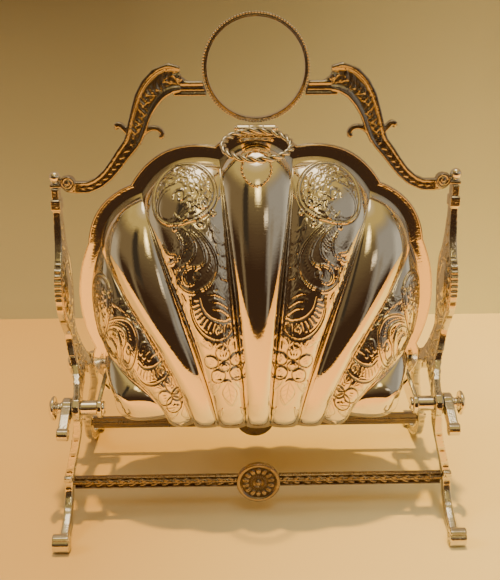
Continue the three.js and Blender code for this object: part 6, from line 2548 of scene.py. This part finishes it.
@dataclass
class Studio:
    """The pale table and wall with painted light in their colours, the soft lights, the dim room that the
    silver mirrors, and the camera.
    """

    table_half_width: float = 1.6
    table_front: float = -0.53
    wall_at: float = 0.295
    wall_height: float = 0.9
    lens: float = 52.76
    camera_at: tuple = (-0.0133, -0.497, 0.3245)
    pitch: float = 20.5
    yaw: float = -1.08
    roll: float = -0.28
    clip: tuple = (0.01, 20.0)
    # The table's painted light: darker at the left, paler at the right, brighter in front of the object.
    cream: tuple = ((0.55, 0.39, 0.17, 1), (0.96, 0.86, 0.47, 1), (0.97, 0.60, 0.21, 1))
    # The wall's painted light: darker at the top left, lighter at the bottom right.
    tan: tuple = ((0.145, 0.122, 0.062, 1), (0.80, 0.82, 0.53, 1), (0.80, 0.82, 0.53, 1))
    paler: Colour = (0.46, 0.44, 0.40, 1)
    dark: Colour = (0.052, 0.025, 0.011, 1)
    seen: Colour = (0.42, 0.32, 0.17, 1)
    glows: tuple = (
        Glow(-62, 0.42, 32, 0.22, 0.10, (0.20, 0.13, 0.055, 1)),
        Glow(62, 0.36, 34, 0.30, 0.10, (0.36, 0.31, 0.23, 1)),
        Glow(-30, 0.45, 7, 0.26, 0.05, (0.05, 0.035, 0.02, 1)),
        Glow(38, 0.05, 5, 0.30, 0.05, (0.30, 0.24, 0.16, 1)),
        Glow(-44, 0.0, 4, 0.24, 0.05, (0.22, 0.15, 0.07, 1)),
        Glow(90, 0.1, 16, 0.30, 0.12, (0.60, 0.52, 0.38, 1)),
        Glow(-90, 0.1, 16, 0.30, 0.12, (0.50, 0.38, 0.22, 1)),
        Glow(4, 0.645, 6, 0.06, 0.08, (6.0, 4.4, 1.7, 1)),
        Glow(0, 0.99, 300, 0.02, 0.02, (3.6, 2.9, 1.9, 1)),
        Glow(24, 0.40, 5, 0.05, 0.03, (1.3, 1.0, 0.6, 1)),
        Glow(150, 0.4, 26, 0.24, 0.10, (0.50, 0.45, 0.36, 1)),
        Glow(-150, 0.4, 26, 0.24, 0.10, (0.46, 0.40, 0.31, 1)),
        Glow(172, 0.66, 7, 0.07, 0.06, (1.5, 1.3, 0.9, 1)),
    )
    room: tuple = (
        (0.13, 0.27, (0.10, 0.058, 0.026, 1)), (0.3, 0.56, (0.20, 0.135, 0.055, 1)),
        (0.56, 0.76, (0.62, 0.42, 0.12, 1)), (0.86, 0.98, (0.76, 0.56, 0.27, 1)),
    )

    def build(self) -> None:
        """Builds the whole studio."""
        self.table()
        self.world()
        self.lights()
        self.camera()

    def plain_material(
        self, name: str, colours: tuple[Colour, Colour, Colour], across: float, back: bool
    ) -> bpy.types.Material:
        """Makes a soft, faintly clouded colour that changes across the surface as painted light.

        Args:
            name: the material's name.
            colours: those at the left and high up, at the right and low down, and in front of the object; the
                change between them is painted light.
            across: how much of the change is from left to right, from 0 to 1.
            back: whether it can be seen through from behind.

        Returns:
            The material.
        """
        material = bpy.data.materials.new(name)
        book = emptied(material)
        out = book.add("ShaderNodeOutputMaterial")
        place = book.add("ShaderNodeTexCoord").outputs["Object"]
        parts = book.add("ShaderNodeSeparateXYZ", {0: place})
        # Painted light: the colour fades from left to right and from high to low, and to a brighter one in
        # front of the object.
        sideways = book.ramp(parts.outputs[0], -0.11, 0.21)
        down = book.ramp(parts.outputs[2], 0.34, 0.02)
        share = book.sum("MULTIPLY", sideways, across)
        share = book.sum("ADD", share, book.sum("MULTIPLY", down, 1 - across))
        cloud = book.sum("MULTIPLY", book.sum("SUBTRACT", book.noise(place, 2.2, 2.0), 0.5), 0.3)
        colour = book.blend(book.sum("ADD", share, cloud), *colours[:2])
        colour = book.blend(book.ramp(parts.outputs[1], -0.10, -0.20), colour, colours[2])
        shader = book.add("ShaderNodeBsdfPrincipled", {"Base Color": colour, "Roughness": 0.85})
        surface = shader.outputs[0]
        # Reflections and bounce light see a paler even colour instead of the painted light; from behind, the
        # wall is clear.
        if back:
            direct = book.add("ShaderNodeLightPath").outputs["Is Camera Ray"]
            paler = book.add("ShaderNodeBsdfPrincipled", {"Base Color": self.paler, "Roughness": 0.85})
            sockets = {0: direct, 1: paler.outputs[0], 2: surface}
            surface = book.add("ShaderNodeMixShader", sockets).outputs[0]
            behind = book.add("ShaderNodeNewGeometry").outputs["Backfacing"]
            sockets = {0: behind, 1: surface, 2: book.add("ShaderNodeBsdfTransparent").outputs[0]}
            surface = book.add("ShaderNodeMixShader", sockets).outputs[0]
        book.tree.links.new(surface, out.inputs[0])
        return material

    def table(self) -> None:
        """Lays the table top, whose front edge shows in the flutes, and stands the wall behind it; both carry
        painted light in their colours.
        """
        width, front, rear, high = self.table_half_width, self.table_front, self.wall_at, self.wall_height
        cream = self.plain_material("cream_table", self.cream, 1.0, False)
        tan = self.plain_material("tan_wall", self.tan, 0.36, True)
        corners = {
            "table": ([(-width, front, 0), (width, front, 0), (width, rear, 0), (-width, rear, 0)], cream),
            "wall": ([(-width, rear, 0), (width, rear, 0), (width, rear, high), (-width, rear, high)], tan),
        }
        for name, (places, material) in corners.items():
            mesh = bpy.data.meshes.new(name)
            mesh.from_pydata([Vector(p) for p in places], [], [(0, 1, 2, 3)])
            mesh.materials.append(material)
            made = linked(name, mesh)

    def world(self) -> None:
        """Sets the room: plain to the camera, and dim with soft glows where the silver mirrors it."""
        world = bpy.data.worlds.new("room")
        bpy.context.scene.world = world
        book = emptied(world)
        out = book.add("ShaderNodeOutputWorld")
        parts = book.add("ShaderNodeSeparateXYZ", {0: book.add("ShaderNodeTexCoord").outputs["Generated"]})
        up = parts.outputs[2]
        ahead = book.sum("MULTIPLY", parts.outputs[1], -1.0)
        bearing = book.sum("ARCTAN2", parts.outputs[0], ahead)
        bearing = book.sum("MULTIPLY", bearing, 180 / math.pi)
        room = self.dark
        for low, high, colour in self.room:
            room = book.blend(book.ramp(up, low, high), room, colour)
        for glow in self.glows:
            aside = book.sum("ABSOLUTE", book.sum("SUBTRACT", bearing, glow.bearing))
            over = book.sum("ABSOLUTE", book.sum("SUBTRACT", up, glow.rise))
            edge = glow.soft * 60
            wide = book.ramp(aside, glow.half_width + edge, glow.half_width - edge)
            high = book.ramp(over, glow.half_height + glow.soft, glow.half_height - glow.soft)
            room = book.blend(book.sum("MULTIPLY", wide, high), room, glow.colour)
        seen = book.add("ShaderNodeBackground", {0: self.seen, 1: 1.0}).outputs[0]
        mirrored = book.add("ShaderNodeBackground", {0: room, 1: 1.0}).outputs[0]
        direct = book.add("ShaderNodeLightPath").outputs["Is Camera Ray"]
        mixed = book.add("ShaderNodeMixShader", {0: direct, 1: mirrored, 2: seen}).outputs[0]
        book.tree.links.new(mixed, out.inputs[0])

    @staticmethod
    def lamp(
        name: str, at: Sequence[float], aim: Sequence[float], size: Sequence[float], power: float,
        colour: tuple[float, float, float],
    ) -> None:
        """Hangs one soft lamp, which the silver does not mirror: the glows of the room stand for it there.

        Args:
            name: its name.
            at: where it hangs.
            aim: the place that it faces.
            size: its width and height.
            power: its power.
            colour: its colour.
        """
        light = bpy.data.lights.new(name, "AREA")
        light.shape = "RECTANGLE"
        light.size, light.size_y = size
        light.energy = power
        light.color = colour
        made = linked(name, light)
        made.location = at
        made.rotation_euler = (Vector(aim) - Vector(at)).to_track_quat("-Z", "Y").to_euler()
        made.visible_glossy = False

    def lights(self) -> None:
        """Hangs the small warm key overhead, and soft fills in front, at the left and behind."""
        self.lamp("key", (-0.02, 0.13, 2.2), (0, 0, 0.05), (0.07, 0.07), 70.0, (1.0, 0.53, 0.05))
        self.lamp("front_fill", (0.10, -0.75, 1.15), (0, 0, 0.1), (0.5, 0.35), 4.2, (0.74, 0.88, 1.0))
        self.lamp("left_fill", (-1.0, -0.2, 0.9), (0, 0, 0.15), (0.4, 0.4), 3.4, (1.0, 0.92, 0.80))
        self.lamp("rear_fill", (0.3, 1.3, 0.9), (0, 0, 0.12), (0.7, 0.5), 7.4, (0.78, 0.92, 1.0))

    def camera(self) -> None:
        """Sets the camera where the photograph was taken from."""
        data = bpy.data.cameras.new("camera")
        data.sensor_fit = "AUTO"
        data.sensor_width = 36.0
        data.lens = self.lens
        data.clip_start, data.clip_end = self.clip
        made = linked("camera", data)
        made.location = self.camera_at
        pitch, yaw, roll = (math.radians(value) for value in (90 - self.pitch, self.yaw, self.roll))
        turn = Matrix.Rotation(yaw, 3, "Z") @ Matrix.Rotation(pitch, 3, "X") @ Matrix.Rotation(roll, 3, "Z")
        made.rotation_mode = "QUATERNION"
        made.rotation_quaternion = turn.to_quaternion()
        bpy.context.scene.camera = made


def main() -> None:
    """Builds the studio and every sub-assembly in order."""
    logging.basicConfig(level=logging.INFO, format="%(message)s", stream=sys.stdout)
    Studio().build()
    for assembly in (
        ShellHalves(), Grilles(), HandleArms(), CarryingRing(), SideFrames(), Standards(), Stretchers(),
        Pivots(), Ears(), LiftingRing(),
    ):
        assembly.build()


if __name__ == "__main__":
    main()
